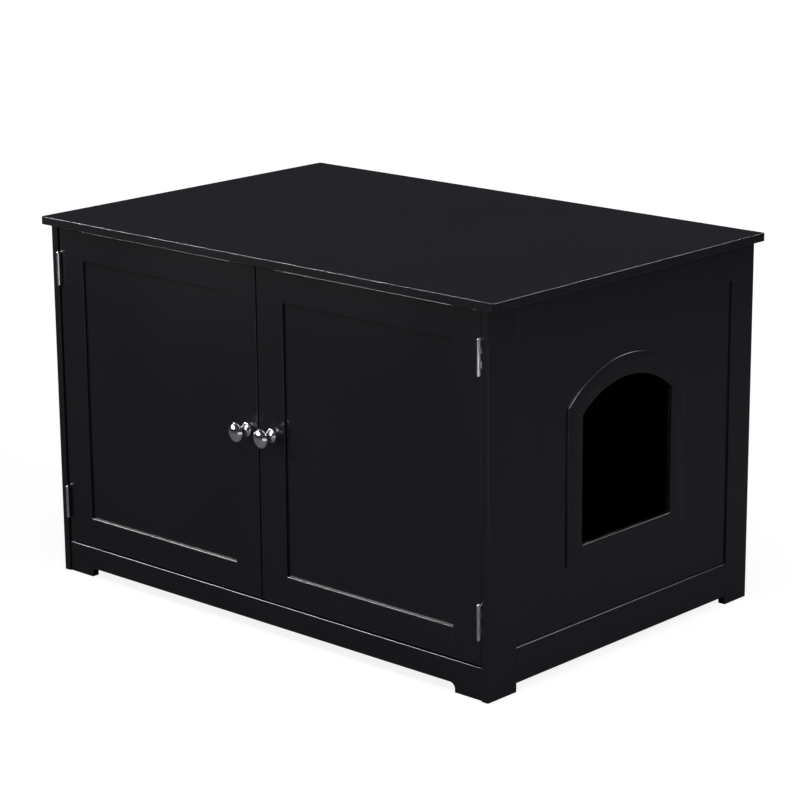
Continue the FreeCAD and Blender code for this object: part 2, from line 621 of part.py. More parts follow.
board_screws = piece("board_screws", "0", FRONT, STRETCHER_UNDERSIDE)
for name, diameter, length, taper in (("shanks", "board_screw_diameter", "board_screw_length", None),
                                      ("heads", "board_screw_head", BOARD_SCREW_SINK, STRETCHER_TAPER)):
    drawing = sketch(board_screws, name)
    for x, y in board_screw_places:
        circle(drawing, x, y, diameter)
    pad(drawing, length, taper=taper)


# ---------------------------------------------------------------- doors (modelled left, mirrored right)

DOOR_X = f"({LEFT} + side_thickness + {DOOR_GAP})"
DOOR_Y = f"({FRONT} + door_inset)"
RAIL_LENGTH = f"({DOOR_WIDTH} - 2 * door_stile_width)"
KNOB_X = f"({DOOR_WIDTH} - knob_from_edge)"
KNOB_Z = f"(knob_height - {DOOR_BOTTOM})"
STRIKE_X = f"({DOOR_WIDTH} + door_centre_gap / 2 - catch_offset)"
STRIKE_Z = f"({STRETCHER_UNDERSIDE} - strike_drop - strike_height / 2 - {DOOR_BOTTOM})"


def door_stile(label, x, groove):
    body = piece(label, f"{DOOR_X} + {x}", DOOR_Y, DOOR_BOTTOM)
    block(body, "board", ("0", "door_stile_width"), ("0", "door_thickness"), ("0", DOOR_HEIGHT))
    block(body, "panel_groove", groove, DOOR_GROOVE, ("0", DOOR_HEIGHT), cut=True)
    return body


def door_rail(label, low, height, groove):
    body = piece(label, f"{DOOR_X} + door_stile_width", DOOR_Y, f"{DOOR_BOTTOM} + {low}")
    tongued = ("-tongue_length", f"{RAIL_LENGTH} + tongue_length")
    block(body, "board", ("0", RAIL_LENGTH), ("0", "door_thickness"), ("0", height))
    block(body, "tongues", tongued, DOOR_GROOVE, ("0", height))
    block(body, "panel_groove", tongued, DOOR_GROOVE, groove, cut=True)
    round_edges(body, "edge_round", along("x", at(y="0")))
    return body


hinge_stile = door_stile("left_door_hinge_stile", "0", ("door_stile_width - tongue_length", "door_stile_width"))
door_screws = [("hinge_screw_setback - barrel_proud - door_inset", f"{height} - {DOOR_BOTTOM}")
               for height in HINGE_SCREW_HEIGHTS]
drill(hinge_stile, "screw_holes", "YZ_Plane", None, door_screws, "hinge_screw_diameter",
      "hinge_screw_length - leaf_thickness", forwards=True)
round_edges(hinge_stile, "edge_round", at(y="0"))

MEETING_X = f"({DOOR_WIDTH} - door_stile_width)"
meeting_stile = door_stile("left_door_meeting_stile", MEETING_X, ("0", "tongue_length"))
round_edges(meeting_stile, "edge_round", at(y="0"))
knob_hole = sketch(meeting_stile, "knob_hole", "XZ_Plane")
circle(knob_hole, f"{KNOB_X} - {MEETING_X}", KNOB_Z, "knob_screw_diameter")
pocket(knob_hole, "door_thickness")
strike_hole = sketch(meeting_stile, "strike_hole", "XZ_Plane", "-door_thickness")
circle(strike_hole, f"{STRIKE_X} - {MEETING_X}", STRIKE_Z, "strike_screw_diameter")
pocket(strike_hole, "strike_screw_length", forwards=True)

door_top_rail = door_rail("left_door_top_rail", f"({DOOR_HEIGHT} - door_top_rail_height)",
                          "door_top_rail_height", ("0", "tongue_length"))
door_bottom_rail = door_rail("left_door_bottom_rail", "0", "door_bottom_rail_height",
                             ("door_bottom_rail_height - tongue_length", "door_bottom_rail_height"))

door_panel = piece("left_door_panel", f"{DOOR_X} + door_stile_width - {PANEL_SEAT}",
                   f"{DOOR_Y} + door_panel_recess", f"{DOOR_BOTTOM} + door_bottom_rail_height - {PANEL_SEAT}")
block(door_panel, "board", ("0", f"{RAIL_LENGTH} + 2 * {PANEL_SEAT}"), ("0", "panel_thickness"),
      ("0", f"{DOOR_HEIGHT} - door_top_rail_height - door_bottom_rail_height + 2 * {PANEL_SEAT}"))

# The knob is turned about its own axis: foot, hollow stem, rim and domed face.
knob = piece("left_knob", f"{DOOR_X} + {KNOB_X}", DOOR_Y, "knob_height")
knob_profile = sketch(knob, "profile")
HEAD_R = "(knob_head_diameter / 2)"
DOME_R = f"(({HEAD_R} ^ 2 + knob_dome ^ 2) / (2 * knob_dome))"
RIM_FRONT = "(knob_projection - knob_dome)"
STEM_LOW = "(2 * knob_base_rim)"
STEM_HIGH = f"({RIM_FRONT} - 2 * knob_rim)"
STEM_MIDDLE = f"(({STEM_LOW} + {STEM_HIGH}) / 2)"
STEM_CENTRE = "(knob_waist_diameter / 2 + knob_waist_round)"
half_stem = (number(STEM_HIGH) - number(STEM_LOW)) / 2
stem_reach = math.asin(half_stem / number("knob_waist_round"))
stem_edge = number(STEM_CENTRE) - number("knob_waist_round") * math.cos(stem_reach)
dome_reach = math.asin(number(HEAD_R) / number(DOME_R))
knob_corners = [(0, 0), (number("knob_base_diameter / 2"), 0),
                (number("knob_base_diameter / 2"), -number("knob_base_rim")), (stem_edge, -number(STEM_LOW)),
                (stem_edge, -number(STEM_HIGH)), (number(HEAD_R), -number(f"{RIM_FRONT} - knob_rim")),
                (number(HEAD_R), -number(RIM_FRONT)), (0, -number("knob_projection"))]
knob_points = [FreeCAD.Vector(x, y, 0) for x, y in knob_corners]
stem_ring = Part.Circle(FreeCAD.Vector(number(STEM_CENTRE), -number(STEM_MIDDLE), 0), UP,
                        number("knob_waist_round"))
dome_ring = Part.Circle(FreeCAD.Vector(0, number(f"{DOME_R} - knob_projection"), 0), UP, number(DOME_R))
under, foot, foot_slope, stem, flare, rim, dome, axis = range(8)
for first in (under, foot, foot_slope):
    knob_profile.addGeometry(Part.LineSegment(knob_points[first], knob_points[first + 1]))
knob_profile.addGeometry(Part.ArcOfCircle(stem_ring, math.pi - stem_reach, math.pi + stem_reach))
for first in (flare, rim):
    knob_profile.addGeometry(Part.LineSegment(knob_points[first], knob_points[first + 1]))
knob_profile.addGeometry(Part.ArcOfCircle(dome_ring, 1.5 * math.pi, 1.5 * math.pi + dome_reach))
knob_profile.addGeometry(Part.LineSegment(knob_points[7], knob_points[0]))
for one, one_end, other, other_end in (
        (under, END, foot, START), (foot, END, foot_slope, START), (foot_slope, END, stem, START),
        (stem, END, flare, START), (flare, END, rim, START), (rim, END, dome, END),
        (dome, START, axis, START), (axis, END, under, START)):
    knob_profile.addConstraint(Sketcher.Constraint("Coincident", one, one_end, other, other_end))
knob_profile.addConstraint(Sketcher.Constraint("Coincident", under, START, ORIGIN, START))
pin(knob_profile, under, END, "knob_base_diameter / 2", "0")
pin(knob_profile, foot, END, "knob_base_diameter / 2", "-knob_base_rim")
pin(knob_profile, stem, CENTRE, STEM_CENTRE, f"-{STEM_MIDDLE}")
pin(knob_profile, stem, START, None, f"-{STEM_LOW}")
pin(knob_profile, stem, END, None, f"-{STEM_HIGH}")
dimension(knob_profile, "Radius", stem, size="knob_waist_round")
pin(knob_profile, flare, END, HEAD_R, f"-({RIM_FRONT} - knob_rim)")
pin(knob_profile, rim, END, HEAD_R, f"-{RIM_FRONT}")
pin(knob_profile, dome, CENTRE, "0", None)
pin(knob_profile, axis, START, "0", "-knob_projection")
turning = knob.newObject("PartDesign::Revolution", "knob_turning")
turning.Profile = knob_profile
turning.ReferenceAxis = (knob_profile, ["V_Axis"])
turning.Angle = 360
knob_bore = sketch(knob, "bore", "XZ_Plane")
circle(knob_bore, "0", "0", "knob_screw_diameter")
pocket(knob_bore, "knob_bore_depth", forwards=True)

knob_screw = piece("left_knob_screw", f"{DOOR_X} + {KNOB_X}", f"{DOOR_Y} + door_thickness", "knob_height")
knob_shank = sketch(knob_screw, "shank", "XZ_Plane")
circle(knob_shank, "0", "0", "knob_screw_diameter")
pad(knob_shank, "door_thickness + knob_screw_engagement")
knob_screw_head = sketch(knob_screw, "head", "XZ_Plane")
circle(knob_screw_head, "0", "0", "knob_screw_head")
pad(knob_screw_head, "knob_screw_head_height", backwards=True,
    taper=cone("knob_screw_head", "knob_screw_face", "knob_screw_head_height"))

strike_plate = piece("left_strike_plate", f"{DOOR_X} + {STRIKE_X}", f"{DOOR_Y} + door_thickness",
                     f"{DOOR_BOTTOM} + {STRIKE_Z}")
block(strike_plate, "plate", ("-strike_length / 2", "strike_length / 2"), ("0", "strike_thickness"),
      ("-strike_height / 2", "strike_height / 2"))
plate_hole = sketch(strike_plate, "hole", "XZ_Plane")
circle(plate_hole, "0", "0", "strike_screw_diameter")
pocket(plate_hole, "strike_thickness")
round_edges(strike_plate, "strike_height / 4", along("y", at(x="strike_length / 2"), at(x="-strike_length / 2")))

strike_screw = piece("left_strike_screw", f"{DOOR_X} + {STRIKE_X}", f"{DOOR_Y} + door_thickness",
                     f"{DOOR_BOTTOM} + {STRIKE_Z}")
strike_shank = sketch(strike_screw, "shank", "XZ_Plane", "-strike_thickness")
circle(strike_shank, "0", "0", "strike_screw_diameter")
pad(strike_shank, "strike_screw_length + strike_thickness")

for master in (hinge_stile, meeting_stile, door_top_rail, door_bottom_rail, door_panel, knob, knob_screw,
               strike_plate, strike_screw):
    twin(master)


# ---------------------------------------------------------------- hinges (modelled left, mirrored right)

# A hinge's own origin is on the side's inner face, level with the axis, at the hinge's lower end.
HINGE_X = f"({LEFT} + side_thickness)"
HINGE_Y = f"({FRONT} - barrel_proud)"
AXIS_X = "(barrel_from_side + barrel_diameter / 2)"
NOTCH_Y = "(barrel_diameter / 2 + leaf_notch)"
PITCH = "(hinge_height / knuckle_count)"
KNUCKLE = f"({PITCH} - knuckle_gap)"
BORE = "(pin_diameter + 2 * pin_clearance)"


def hinge_leaf(label, low, plate_x, web, bore, first, count):
    """A plate with every second knuckle on it, each joined to the plate by its web."""
    body = piece(label, HINGE_X, HINGE_Y, low)
    block(body, "plate", plate_x, (NOTCH_Y, "leaf_width"), ("0", "hinge_height"))
    start = f"{first} * {PITCH} + knuckle_gap / 2"
    drawing = sketch(body, "web", offset=start)
    polygon(drawing, web)
    web_pad = pad(drawing, KNUCKLE)
    drawing = sketch(body, "knuckle", offset=start)
    circle(drawing, AXIS_X, "0", "barrel_diameter")
    knuckle_pad = pad(drawing, KNUCKLE)
    rows = body.newObject("PartDesign::LinearPattern", f"{label}_knuckles")
    rows.Originals = [web_pad, knuckle_pad]
    rows.Direction = (plane(body, "Z_Axis"), [""])
    rows.setExpression("Occurrences", formula(count))
    rows.setExpression("Length", formula(f"({count} - 1) * 2 * {PITCH}"))
    body.Tip = rows
    drill(body, "pin_bore", "XY_Plane", None, [(AXIS_X, "0")], bore, "hinge_height", forwards=True)
    round_edges(body, "leaf_corner_round", along("x", at(y="leaf_width")))
    return body


def sink_screws(body, face, forwards):
    """Countersunk holes through a leaf, from the face that its screws enter."""
    places = [("hinge_screw_setback", f"hinge_height / 2 {sign} hinge_screw_spacing / 2") for sign in "-+"]
    drill(body, "screw_holes", "YZ_Plane", face, places, "hinge_screw_diameter", "leaf_thickness", forwards)
    sinks = sketch(body, "screw_sinks", "YZ_Plane", face)
    for y, z in places:
        circle(sinks, y, z, "hinge_screw_head")
    pocket(sinks, "leaf_thickness", forwards, HINGE_TAPER)


PIN_TAPER = cone("pin_head_diameter", "pin_face_diameter", "pin_head_height")
DOOR_LEAF = (f"{DOOR_GAP} - leaf_thickness", DOOR_GAP)
CABINET_WEB = [("0", "-leaf_thickness / 2"), (f"{AXIS_X} - {BORE} / 2", "-leaf_thickness / 2"),
               (f"{AXIS_X} - {BORE} / 2", "leaf_thickness / 2"), ("leaf_thickness", "leaf_thickness / 2"),
               ("leaf_thickness", NOTCH_Y), ("0", NOTCH_Y)]
DOOR_WEB = [(DOOR_LEAF[0], f"{BORE} / 2"), (DOOR_LEAF[1], f"{BORE} / 2"),
            (DOOR_LEAF[1], NOTCH_Y), (DOOR_LEAF[0], NOTCH_Y)]

for where, middle in HINGE_PLACES.items():
    low = f"({middle} - hinge_height / 2)"
    cabinet_leaf = hinge_leaf(f"left_{where}_hinge_cabinet_leaf", low, ("0", "leaf_thickness"), CABINET_WEB,
                              "pin_diameter", "0", "((knuckle_count + 1) / 2)")
    sink_screws(cabinet_leaf, "leaf_thickness", False)
    door_leaf = hinge_leaf(f"left_{where}_hinge_door_leaf", low, DOOR_LEAF, DOOR_WEB,
                           BORE, "1", "((knuckle_count - 1) / 2)")
    sink_screws(door_leaf, DOOR_LEAF[0], True)
    hinge_pin = piece(f"left_{where}_hinge_pin", HINGE_X, HINGE_Y, low)
    for name, start, height, diameter, backwards, taper in (
            ("shank", "0", "hinge_height", "pin_diameter", False, None),
            ("foot", "0", "pin_head_height", "pin_head_diameter", True, PIN_TAPER),
            ("head", "hinge_height", "pin_head_height", "pin_head_diameter", False, PIN_TAPER)):
        drawing = sketch(hinge_pin, name, offset=start)
        circle(drawing, AXIS_X, "0", diameter)
        pad(drawing, height, backwards, taper)
    for master in (cabinet_leaf, door_leaf, hinge_pin):
        twin(master)


def hinge_screws(label, face, forwards):
    """The four countersunk screws of one body's two leaves."""
    body = piece(label, HINGE_X, HINGE_Y)
    heights = [("hinge_screw_setback", height) for height in HINGE_SCREW_HEIGHTS]
    for name, diameter, length, taper in (
            ("shanks", "hinge_screw_diameter", "hinge_screw_length", None),
            ("heads", "hinge_screw_head", "leaf_thickness", HINGE_TAPER)):
        drawing = sketch(body, name, "YZ_Plane", face)
        for y, z in heights:
            circle(drawing, y, z, diameter)
        pad(drawing, length, not forwards, taper)
    return body


twin(hinge_screws("left_cabinet_hinge_screws", "leaf_thickness", False))
twin(hinge_screws("left_door_hinge_screws", DOOR_LEAF[0], True))


# ---------------------------------------------------------------- magnetic catches under the front stretcher

catch = piece("left_magnetic_catch", "-catch_offset", f"{FRONT} + {CATCH_FRONT}", STRETCHER_UNDERSIDE)
block(catch, "flange", ("-catch_length / 2", "catch_length / 2"), ("0", "catch_width"), ("-catch_flange", "0"))
block(catch, "housing", ("-catch_body_length / 2", "catch_body_length / 2"), ("0", "catch_width"),
      ("-catch_height", "-catch_flange"))
MAGNET_LOW = "(-(catch_flange + catch_height) / 2 - magnet_height / 2)"
MAGNET = (("-magnet_length / 2", "magnet_length / 2"), ("0", "magnet_depth - magnet_proud"),
          (MAGNET_LOW, f"{MAGNET_LOW} + magnet_height"))
block(catch, "magnet_slot", *MAGNET, cut=True)
drill(catch, "screw_holes", "XY_Plane", None,
      [(f"{sign}catch_screw_spacing / 2", "catch_width / 2") for sign in ("", "-")],
      "catch_screw_diameter", "catch_flange")
round_edges(catch, "catch_width / 4", along("z", at(x="catch_length / 2"), at(x="-catch_length / 2")))
twin(catch)

magnets = piece("catch_magnets", "0", f"{FRONT} + {CATCH_FRONT}", STRETCHER_UNDERSIDE)
magnet_outline = sketch(magnets, "outline", offset=MAGNET_LOW)
for side in ("", "-"):
    rectangle(magnet_outline, f"{side}catch_offset - magnet_length / 2",
              f"{side}catch_offset + magnet_length / 2", "-magnet_proud", "magnet_depth - magnet_proud")
pad(magnet_outline, "magnet_height")

catch_screws = piece("catch_screws", "0", f"{FRONT} + {CATCH_FRONT} + catch_width / 2", STRETCHER_UNDERSIDE)
for name, offset, diameter, length in (
        ("shanks", "-catch_flange", "catch_screw_diameter", "catch_screw_length"),
        ("heads", "-catch_flange - catch_screw_head_height", "catch_screw_head", "catch_screw_head_height")):
    drawing = sketch(catch_screws, name, offset=offset)
    for x in CATCH_SCREWS:
        circle(drawing, x, "0", diameter)
    pad(drawing, length)


# ---------------------------------------------------------------- checks and files

doc.recompute()
for item in doc.Objects:
    if {"Invalid", "Error"} & set(item.State):
        raise RuntimeError(f"{item.Label} failed: {item.State}")
os.makedirs("parts", exist_ok=True)
for item in PIECES:
    if item.Shape.isNull() or not item.Shape.isValid():
        raise RuntimeError(f"{item.Label} has no valid shape")
for item in PIECES:
    item.Shape.exportStep(os.path.join("parts", f"{item.Label}.step"))
    print(f"{item.Label}: {len(item.Shape.Solids)} solid(s), {item.Shape.Volume / 1000:.2f} cm3")
print(f"{len(PIECES)} nodes")
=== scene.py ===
# %% [markdown]
# # A black cabinet that hides a cat's litter box
#
# This lesson dresses a cabinet that a CAD model has already sized and jointed. Each piece comes in with
# its true shape, so the work here is what a finisher does: ease the edges, turn the knobs, set the
# screws, run the moulding round the cat doorway, and give every surface its paint, plating or grain.

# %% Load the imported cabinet
import json
import math

import bmesh
import bpy
from mathutils import Matrix, Vector


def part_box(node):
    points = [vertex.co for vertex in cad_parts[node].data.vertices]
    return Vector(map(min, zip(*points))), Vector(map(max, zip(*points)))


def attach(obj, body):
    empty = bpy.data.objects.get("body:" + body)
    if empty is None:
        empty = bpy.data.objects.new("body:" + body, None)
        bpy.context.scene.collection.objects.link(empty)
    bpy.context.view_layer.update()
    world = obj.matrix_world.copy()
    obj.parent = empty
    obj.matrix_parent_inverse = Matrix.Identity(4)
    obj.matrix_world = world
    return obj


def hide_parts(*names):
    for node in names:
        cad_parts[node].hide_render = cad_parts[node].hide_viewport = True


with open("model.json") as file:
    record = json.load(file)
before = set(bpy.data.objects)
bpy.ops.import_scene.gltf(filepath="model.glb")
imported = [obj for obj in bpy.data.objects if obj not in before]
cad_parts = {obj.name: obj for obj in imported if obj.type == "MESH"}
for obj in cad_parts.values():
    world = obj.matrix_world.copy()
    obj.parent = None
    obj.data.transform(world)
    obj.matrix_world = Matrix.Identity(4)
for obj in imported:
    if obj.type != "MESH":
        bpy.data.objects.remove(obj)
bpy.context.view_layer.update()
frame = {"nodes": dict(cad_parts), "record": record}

MM = 0.001
nodes = frame["nodes"]
body_of_node = {node: body for body, members in frame["record"]["behaviour"]["bodies"].items() for node in members}

# %% [markdown]
# ## The camera
#
# The photograph looks at the front right corner from a little above, with a long lens, so the boards
# run almost parallel. A camera could be aimed by eye. Here its place comes from fitting a pinhole
# camera to the corners of the top board and the feet. The photograph's uprights are parallel, which a
# camera that looks down can't give, so corners and feet come out up to about nine pixels off.

# %% Camera at the photograph's angle
IMAGE_SIDE = 800
FOCAL_PIXELS = 2733.73
CAMERA_PLACE = Vector((2.69593, -2.90810, 1.35676))
CAMERA_TURN = math.radians(42.683)
CAMERA_TILT = math.radians(15.048)
CAMERA_ROLL = math.radians(-0.443)

camera = bpy.data.objects.new("camera", bpy.data.cameras.new("camera"))
bpy.context.scene.collection.objects.link(camera)
camera.data.sensor_width = 36.0
camera.data.lens = FOCAL_PIXELS * camera.data.sensor_width / IMAGE_SIDE
camera.matrix_world = (Matrix.Translation(CAMERA_PLACE) @ Matrix.Rotation(CAMERA_TURN, 4, "Z")
                       @ Matrix.Rotation(math.pi / 2 - CAMERA_TILT, 4, "X") @ Matrix.Rotation(CAMERA_ROLL, 4, "Z"))
bpy.context.scene.camera = camera
bpy.context.scene.view_settings.view_transform = "Standard"
print(f"lens {camera.data.lens:.1f} mm")

# %% [markdown]
# ## One way to write nodes
#
# Blender's materials and its Geometry Nodes are both graphs. Written link by link they are hard to
# read, so two small classes are used for every graph below. A Wire is one output socket, and sums and
# products of wires add their own Math nodes. A Bench holds a graph and has one method that adds any
# node: its type, then its settings, then the values or wires of its sockets.

# %% Wires and benches
class Wire:
    """One output of a node, which can be used in sums."""

    def __init__(self, bench, socket):
        self.bench = bench
        self.socket = socket

    def other(self, name):
        return Wire(self.bench, self.socket.node.outputs[name])

    def math(self, operation, *values):
        return self.bench.add("ShaderNodeMath", {"operation": operation}, dict(enumerate(values)))

    def __add__(self, value):
        return self.math("ADD", self, value)

    def __sub__(self, value):
        return self.math("SUBTRACT", self, value)

    def __rsub__(self, value):
        return self.math("SUBTRACT", value, self)

    def __mul__(self, value):
        return self.math("MULTIPLY", self, value)

    def __truediv__(self, value):
        return self.math("DIVIDE", self, value)


class Bench:
    """A graph under construction."""

    def __init__(self, tree):
        self.tree = tree

    def add(self, kind, settings=None, sockets=None, out=0):
        node = self.tree.nodes.new(kind)
        for name, value in (settings or {}).items():
            setattr(node, name, value)
        for name, value in (sockets or {}).items():
            if isinstance(value, Wire):
                self.tree.links.new(value.socket, node.inputs[name])
            else:
                node.inputs[name].default_value = value
        return Wire(self, node.outputs[out]) if len(node.outputs) else None


print("one bench for materials and for geometry")

# %% [markdown]
# ## The studio
#
# Product photographs of black furniture are lit so that flat faces stay dark and edges shine. A broad
# lamp overhead and a fill on the right lift the faces a little. Four more lamps show in reflections
# only: each stands where one set of rounded edges, or the hinges' barrels, mirrors it towards the
# camera. The floor is a mid grey, so that chrome mirrors something darker than the backdrop, and it
# glows for camera rays only. That makes it read as white, with a trace of the cabinet's shadow.

# %% Floor and backdrop
FLOOR_SIDE = 60.0
FLOOR_COLOUR = (0.42, 0.42, 0.44, 1.0)
FLOOR_DROP = 0.0005
GLOW_NEAR, GLOW_FAR = 0.9, 2.6
GLOW_UNDER = 0.88
WHITE = (1.0, 1.0, 1.0, 1.0)
SKY_COLOUR = (0.86, 0.86, 1.0, 1.0)
SKY_STRENGTH = 0.052


def new_material(name):
    material = bpy.data.materials.new(name)
    material.use_nodes = True
    material.node_tree.nodes.clear()
    return material, Bench(material.node_tree)


def object_place(bench):
    return bench.add("ShaderNodeTexCoord", out="Object")


def floor_material():
    material, bench = new_material("pale_floor")
    shown = bench.add("ShaderNodeLightPath")
    # Far from the cabinet the lamps fade, so the glow makes up for them there.
    away = bench.add("ShaderNodeVectorMath", {"operation": "LENGTH"}, {0: object_place(bench)}, out="Value")
    glowing = bench.add("ShaderNodeMapRange", {"interpolation_type": "SMOOTHSTEP"},
                        {"Value": away, "From Min": GLOW_NEAR, "From Max": GLOW_FAR, "To Min": GLOW_UNDER,
                         "To Max": 1.0})
    matt = bench.add("ShaderNodeBsdfDiffuse", None, {"Color": FLOOR_COLOUR})
    glow = bench.add("ShaderNodeEmission", None, {"Color": WHITE, "Strength": shown * glowing})
    both = bench.add("ShaderNodeAddShader", None, {0: matt, 1: glow})
    bench.add("ShaderNodeOutputMaterial", None, {"Surface": both})
    return material


floor_mesh = bpy.data.meshes.new("floor")
half_floor = FLOOR_SIDE / 2
floor_mesh.from_pydata([(-half_floor, -half_floor, 0), (half_floor, -half_floor, 0),
                        (half_floor, half_floor, 0), (-half_floor, half_floor, 0)], [], [(0, 1, 2, 3)])
floor = bpy.data.objects.new("floor", floor_mesh)
bpy.context.scene.collection.objects.link(floor)
floor.location.z = -FLOOR_DROP
floor_mesh.materials.append(floor_material())

world = bpy.data.worlds.new("studio")
world.use_nodes = True
world.node_tree.nodes.clear()
sky = Bench(world.node_tree)
ray = sky.add("ShaderNodeLightPath")
dim = sky.add("ShaderNodeBackground", None, {"Color": SKY_COLOUR, "Strength": SKY_STRENGTH})
bright = sky.add("ShaderNodeBackground", None, {"Color": WHITE, "Strength": 1.0})
mixed = sky.add("ShaderNodeMixShader", None, {0: ray, 1: dim, 2: bright})
sky.add("ShaderNodeOutputWorld", None, {"Surface": mixed})
bpy.context.scene.world = world
print("floor and world ready")

# %% Lamps
LAMP_COLOUR = (0.97, 0.96, 1.0)
# name, place, what it points at, size (across, upwards), watts, whether it also lights matt surfaces
LAMPS = (
    ("overhead_box", (0.3, -0.8, 3.0), (0.0, 0.0, 0.3), (2.4, 2.4), 35, True),
    ("front_edge_box", (-1.80, -1.89, 1.22), (-0.1, -0.28, 0.1), (1.5, 0.5), 200, False),
    ("side_edge_box", (1.11, 1.85, 2.0), (0.44, 0.0, 0.3), (1.2, 0.8), 32, False),
    ("arch_box", (1.87, -0.34, 2.06), (0.43, -0.05, 0.42), (0.6, 0.6), 42, False),
    ("side_fill_box", (2.6, 1.1, 1.7), (0.45, 0.0, 0.3), (1.5, 1.5), 14, True),
    ("hinge_strip", (0.61, -0.96, 0.17), (0.0, -0.30, 0.17), (1.3, 0.32), 1.0, False),
)


def hang_lamp(name, place, target, size, watts, everywhere):
    lamp = bpy.data.lights.new(name, "AREA")
    lamp.shape = "RECTANGLE"
    lamp.size, lamp.size_y = size
    lamp.energy = watts
    lamp.color = LAMP_COLOUR
    holder = bpy.data.objects.new(name, lamp)
    bpy.context.scene.collection.objects.link(holder)
    holder.location = place
    holder.visible_diffuse = everywhere
    holder.rotation_euler = (Vector(target) - Vector(place)).to_track_quat("-Z", "Y").to_euler()


for lamp in LAMPS:
    hang_lamp(*lamp)
print(f"{len(LAMPS)} lamps")

# %% [markdown]
# ## Black lacquer
#
# The boards are fibreboard, sprayed with black lacquer and left satin. A plain black would look like
# plastic, so four things vary: the black is a little uneven over a board, the sheen has faint patches,
# the spray leaves a very fine orange peel, and along the eased edges the colour is lighter, partly as worn paint and
# partly as a painted highlight.
# The edge mask compares the true normal with the rounded one that a Bevel node finds. A coat that
# mirrors more than lacquer does lies on the edges only. It isn't real: it stands for edges rubbed
# bright, and it lets the lamps that draw the edges be weaker, which keeps glare off the top board.

# %% Patterns that several finishes share
def noise(bench, scale, detail=2.0, roughness=0.5, at=None):
    return bench.add("ShaderNodeTexNoise", None,
                     {"Vector": at or object_place(bench), "Scale": scale, "Detail": detail, "Roughness": roughness})


def stretched(bench, factors):
    """Object coordinates, drawn out along one axis for grain and brush marks."""
    return bench.add("ShaderNodeMapping", None, {"Vector": object_place(bench), "Scale": factors})


def span(bench, value, low, high):
    """Bring a pattern of 0 to 1 to a range."""
    return bench.add("ShaderNodeMapRange", None, {"Value": value, "From Min": 0.3, "From Max": 0.7,
                                                  "To Min": low, "To Max": high})


def edge_mask(bench, radius, samples=4):
    """1 along convex and concave edges, 0 on the flats."""
    rounded = bench.add("ShaderNodeBevel", {"samples": samples}, {"Radius": radius})
    true = bench.add("ShaderNodeNewGeometry", out="Normal")
    facing = bench.add("ShaderNodeVectorMath", {"operation": "DOT_PRODUCT"}, {0: rounded, 1: true}, out="Value")
    return bench.add("ShaderNodeMapRange", None, {"Value": 1.0 - facing, "From Min": 0.01, "From Max": 0.22,
                                                  "To Min": 0.0, "To Max": 1.0})


def mix_colour(bench, factor, first, second):
    return bench.add("ShaderNodeMix", {"data_type": "RGBA"}, {0: factor, 6: first, 7: second}, out=2)


def finish_with(bench, colour, roughness, normal=None, **others):
    """The shader at the end of every finish."""
    sockets = {"Base Color": colour, "Roughness": roughness}
    if normal is not None:
        sockets["Normal"] = normal
    sockets.update({name.replace("_", " "): value for name, value in others.items()})
    shader = bench.add("ShaderNodeBsdfPrincipled", None, sockets)
    bench.add("ShaderNodeOutputMaterial", None, {"Surface": shader})


def bump(bench, height, distance, strength=1.0):
    return bench.add("ShaderNodeBump", None, {"Height": height, "Distance": distance, "Strength": strength})


print("noise, grain, edge mask and bump")


# %% Black lacquer on fibreboard
LACQUER_DEEP = (0.0135, 0.0128, 0.0165, 1.0)
LACQUER_PALE = (0.0175, 0.0166, 0.0210, 1.0)
# Lighter colour for the eased edges: partly worn paint, partly a painted highlight.
LACQUER_WORN_HIGHLIGHT = (0.040, 0.041, 0.045, 1.0)
RUBBED_IOR = 2.4
RUBBED_ROUGHNESS = 0.16


def black_lacquer():
    material, bench = new_material("black_lacquer")
    cloud = noise(bench, 3.1, 3.0)
    colour = mix_colour(bench, span(bench, cloud, 0.0, 1.0), LACQUER_DEEP, LACQUER_PALE)
    edge = edge_mask(bench, 1.3 * MM)
    # The edges are lightened towards this colour: partly thinned, worn paint, partly a painted highlight.
    worn_and_highlit_edge = edge * span(bench, noise(bench, 55.0, 3.0), 0.35, 0.9)
    colour = mix_colour(bench, worn_and_highlit_edge * 0.55, colour, LACQUER_WORN_HIGHLIGHT)
    patches = span(bench, noise(bench, 4.0, 1.5), 0.235, 0.26)
    roughness = patches + (noise(bench, 260.0) - 0.5) * 0.02 - edge * 0.05
    peel = noise(bench, 420.0, 1.0) + noise(bench, 130.0, 1.0) * 0.8
    finish_with(bench, colour, roughness, bump(bench, peel, 0.01 * MM, 0.3), Specular_IOR_Level=0.32,
                Coat_Weight=edge, Coat_IOR=RUBBED_IOR, Coat_Roughness=RUBBED_ROUGHNESS)
    return material


lacquer = black_lacquer()
print("black lacquer mixed")

# %% [markdown]
# ## Metals, plastic, beech and hardboard
#
# The hardware needs its own finishes. Chrome is almost a mirror, so only hairline marks and a trace of
# handling haze tell it from a reflection ball. Zinc-plated steel is duller and a little blue and
# yellow. Magnets are ground grey ferrite, the catches are moulded plastic with a fine spark-eroded
# grain, dowels are beech with the grain along them, and the back is hardboard, dull and pimpled.

# %% Chrome plate
def chrome_plate():
    material, bench = new_material("chrome_plate")
    haze = noise(bench, 45.0, 4.0)
    colour = mix_colour(bench, span(bench, haze, 0.0, 1.0), (0.64, 0.65, 0.67, 1.0), (0.71, 0.72, 0.74, 1.0))
    edge = edge_mask(bench, 0.25 * MM)
    roughness = span(bench, haze, 0.045, 0.09) + edge * 0.05
    hairlines = noise(bench, 900.0, 2.0, 0.6, stretched(bench, (1.0, 1.0, 0.15)))
    finish_with(bench, colour, roughness, bump(bench, hairlines, 0.004 * MM, 0.2), Metallic=1.0)
    return material


chrome = chrome_plate()
print("chrome plated")


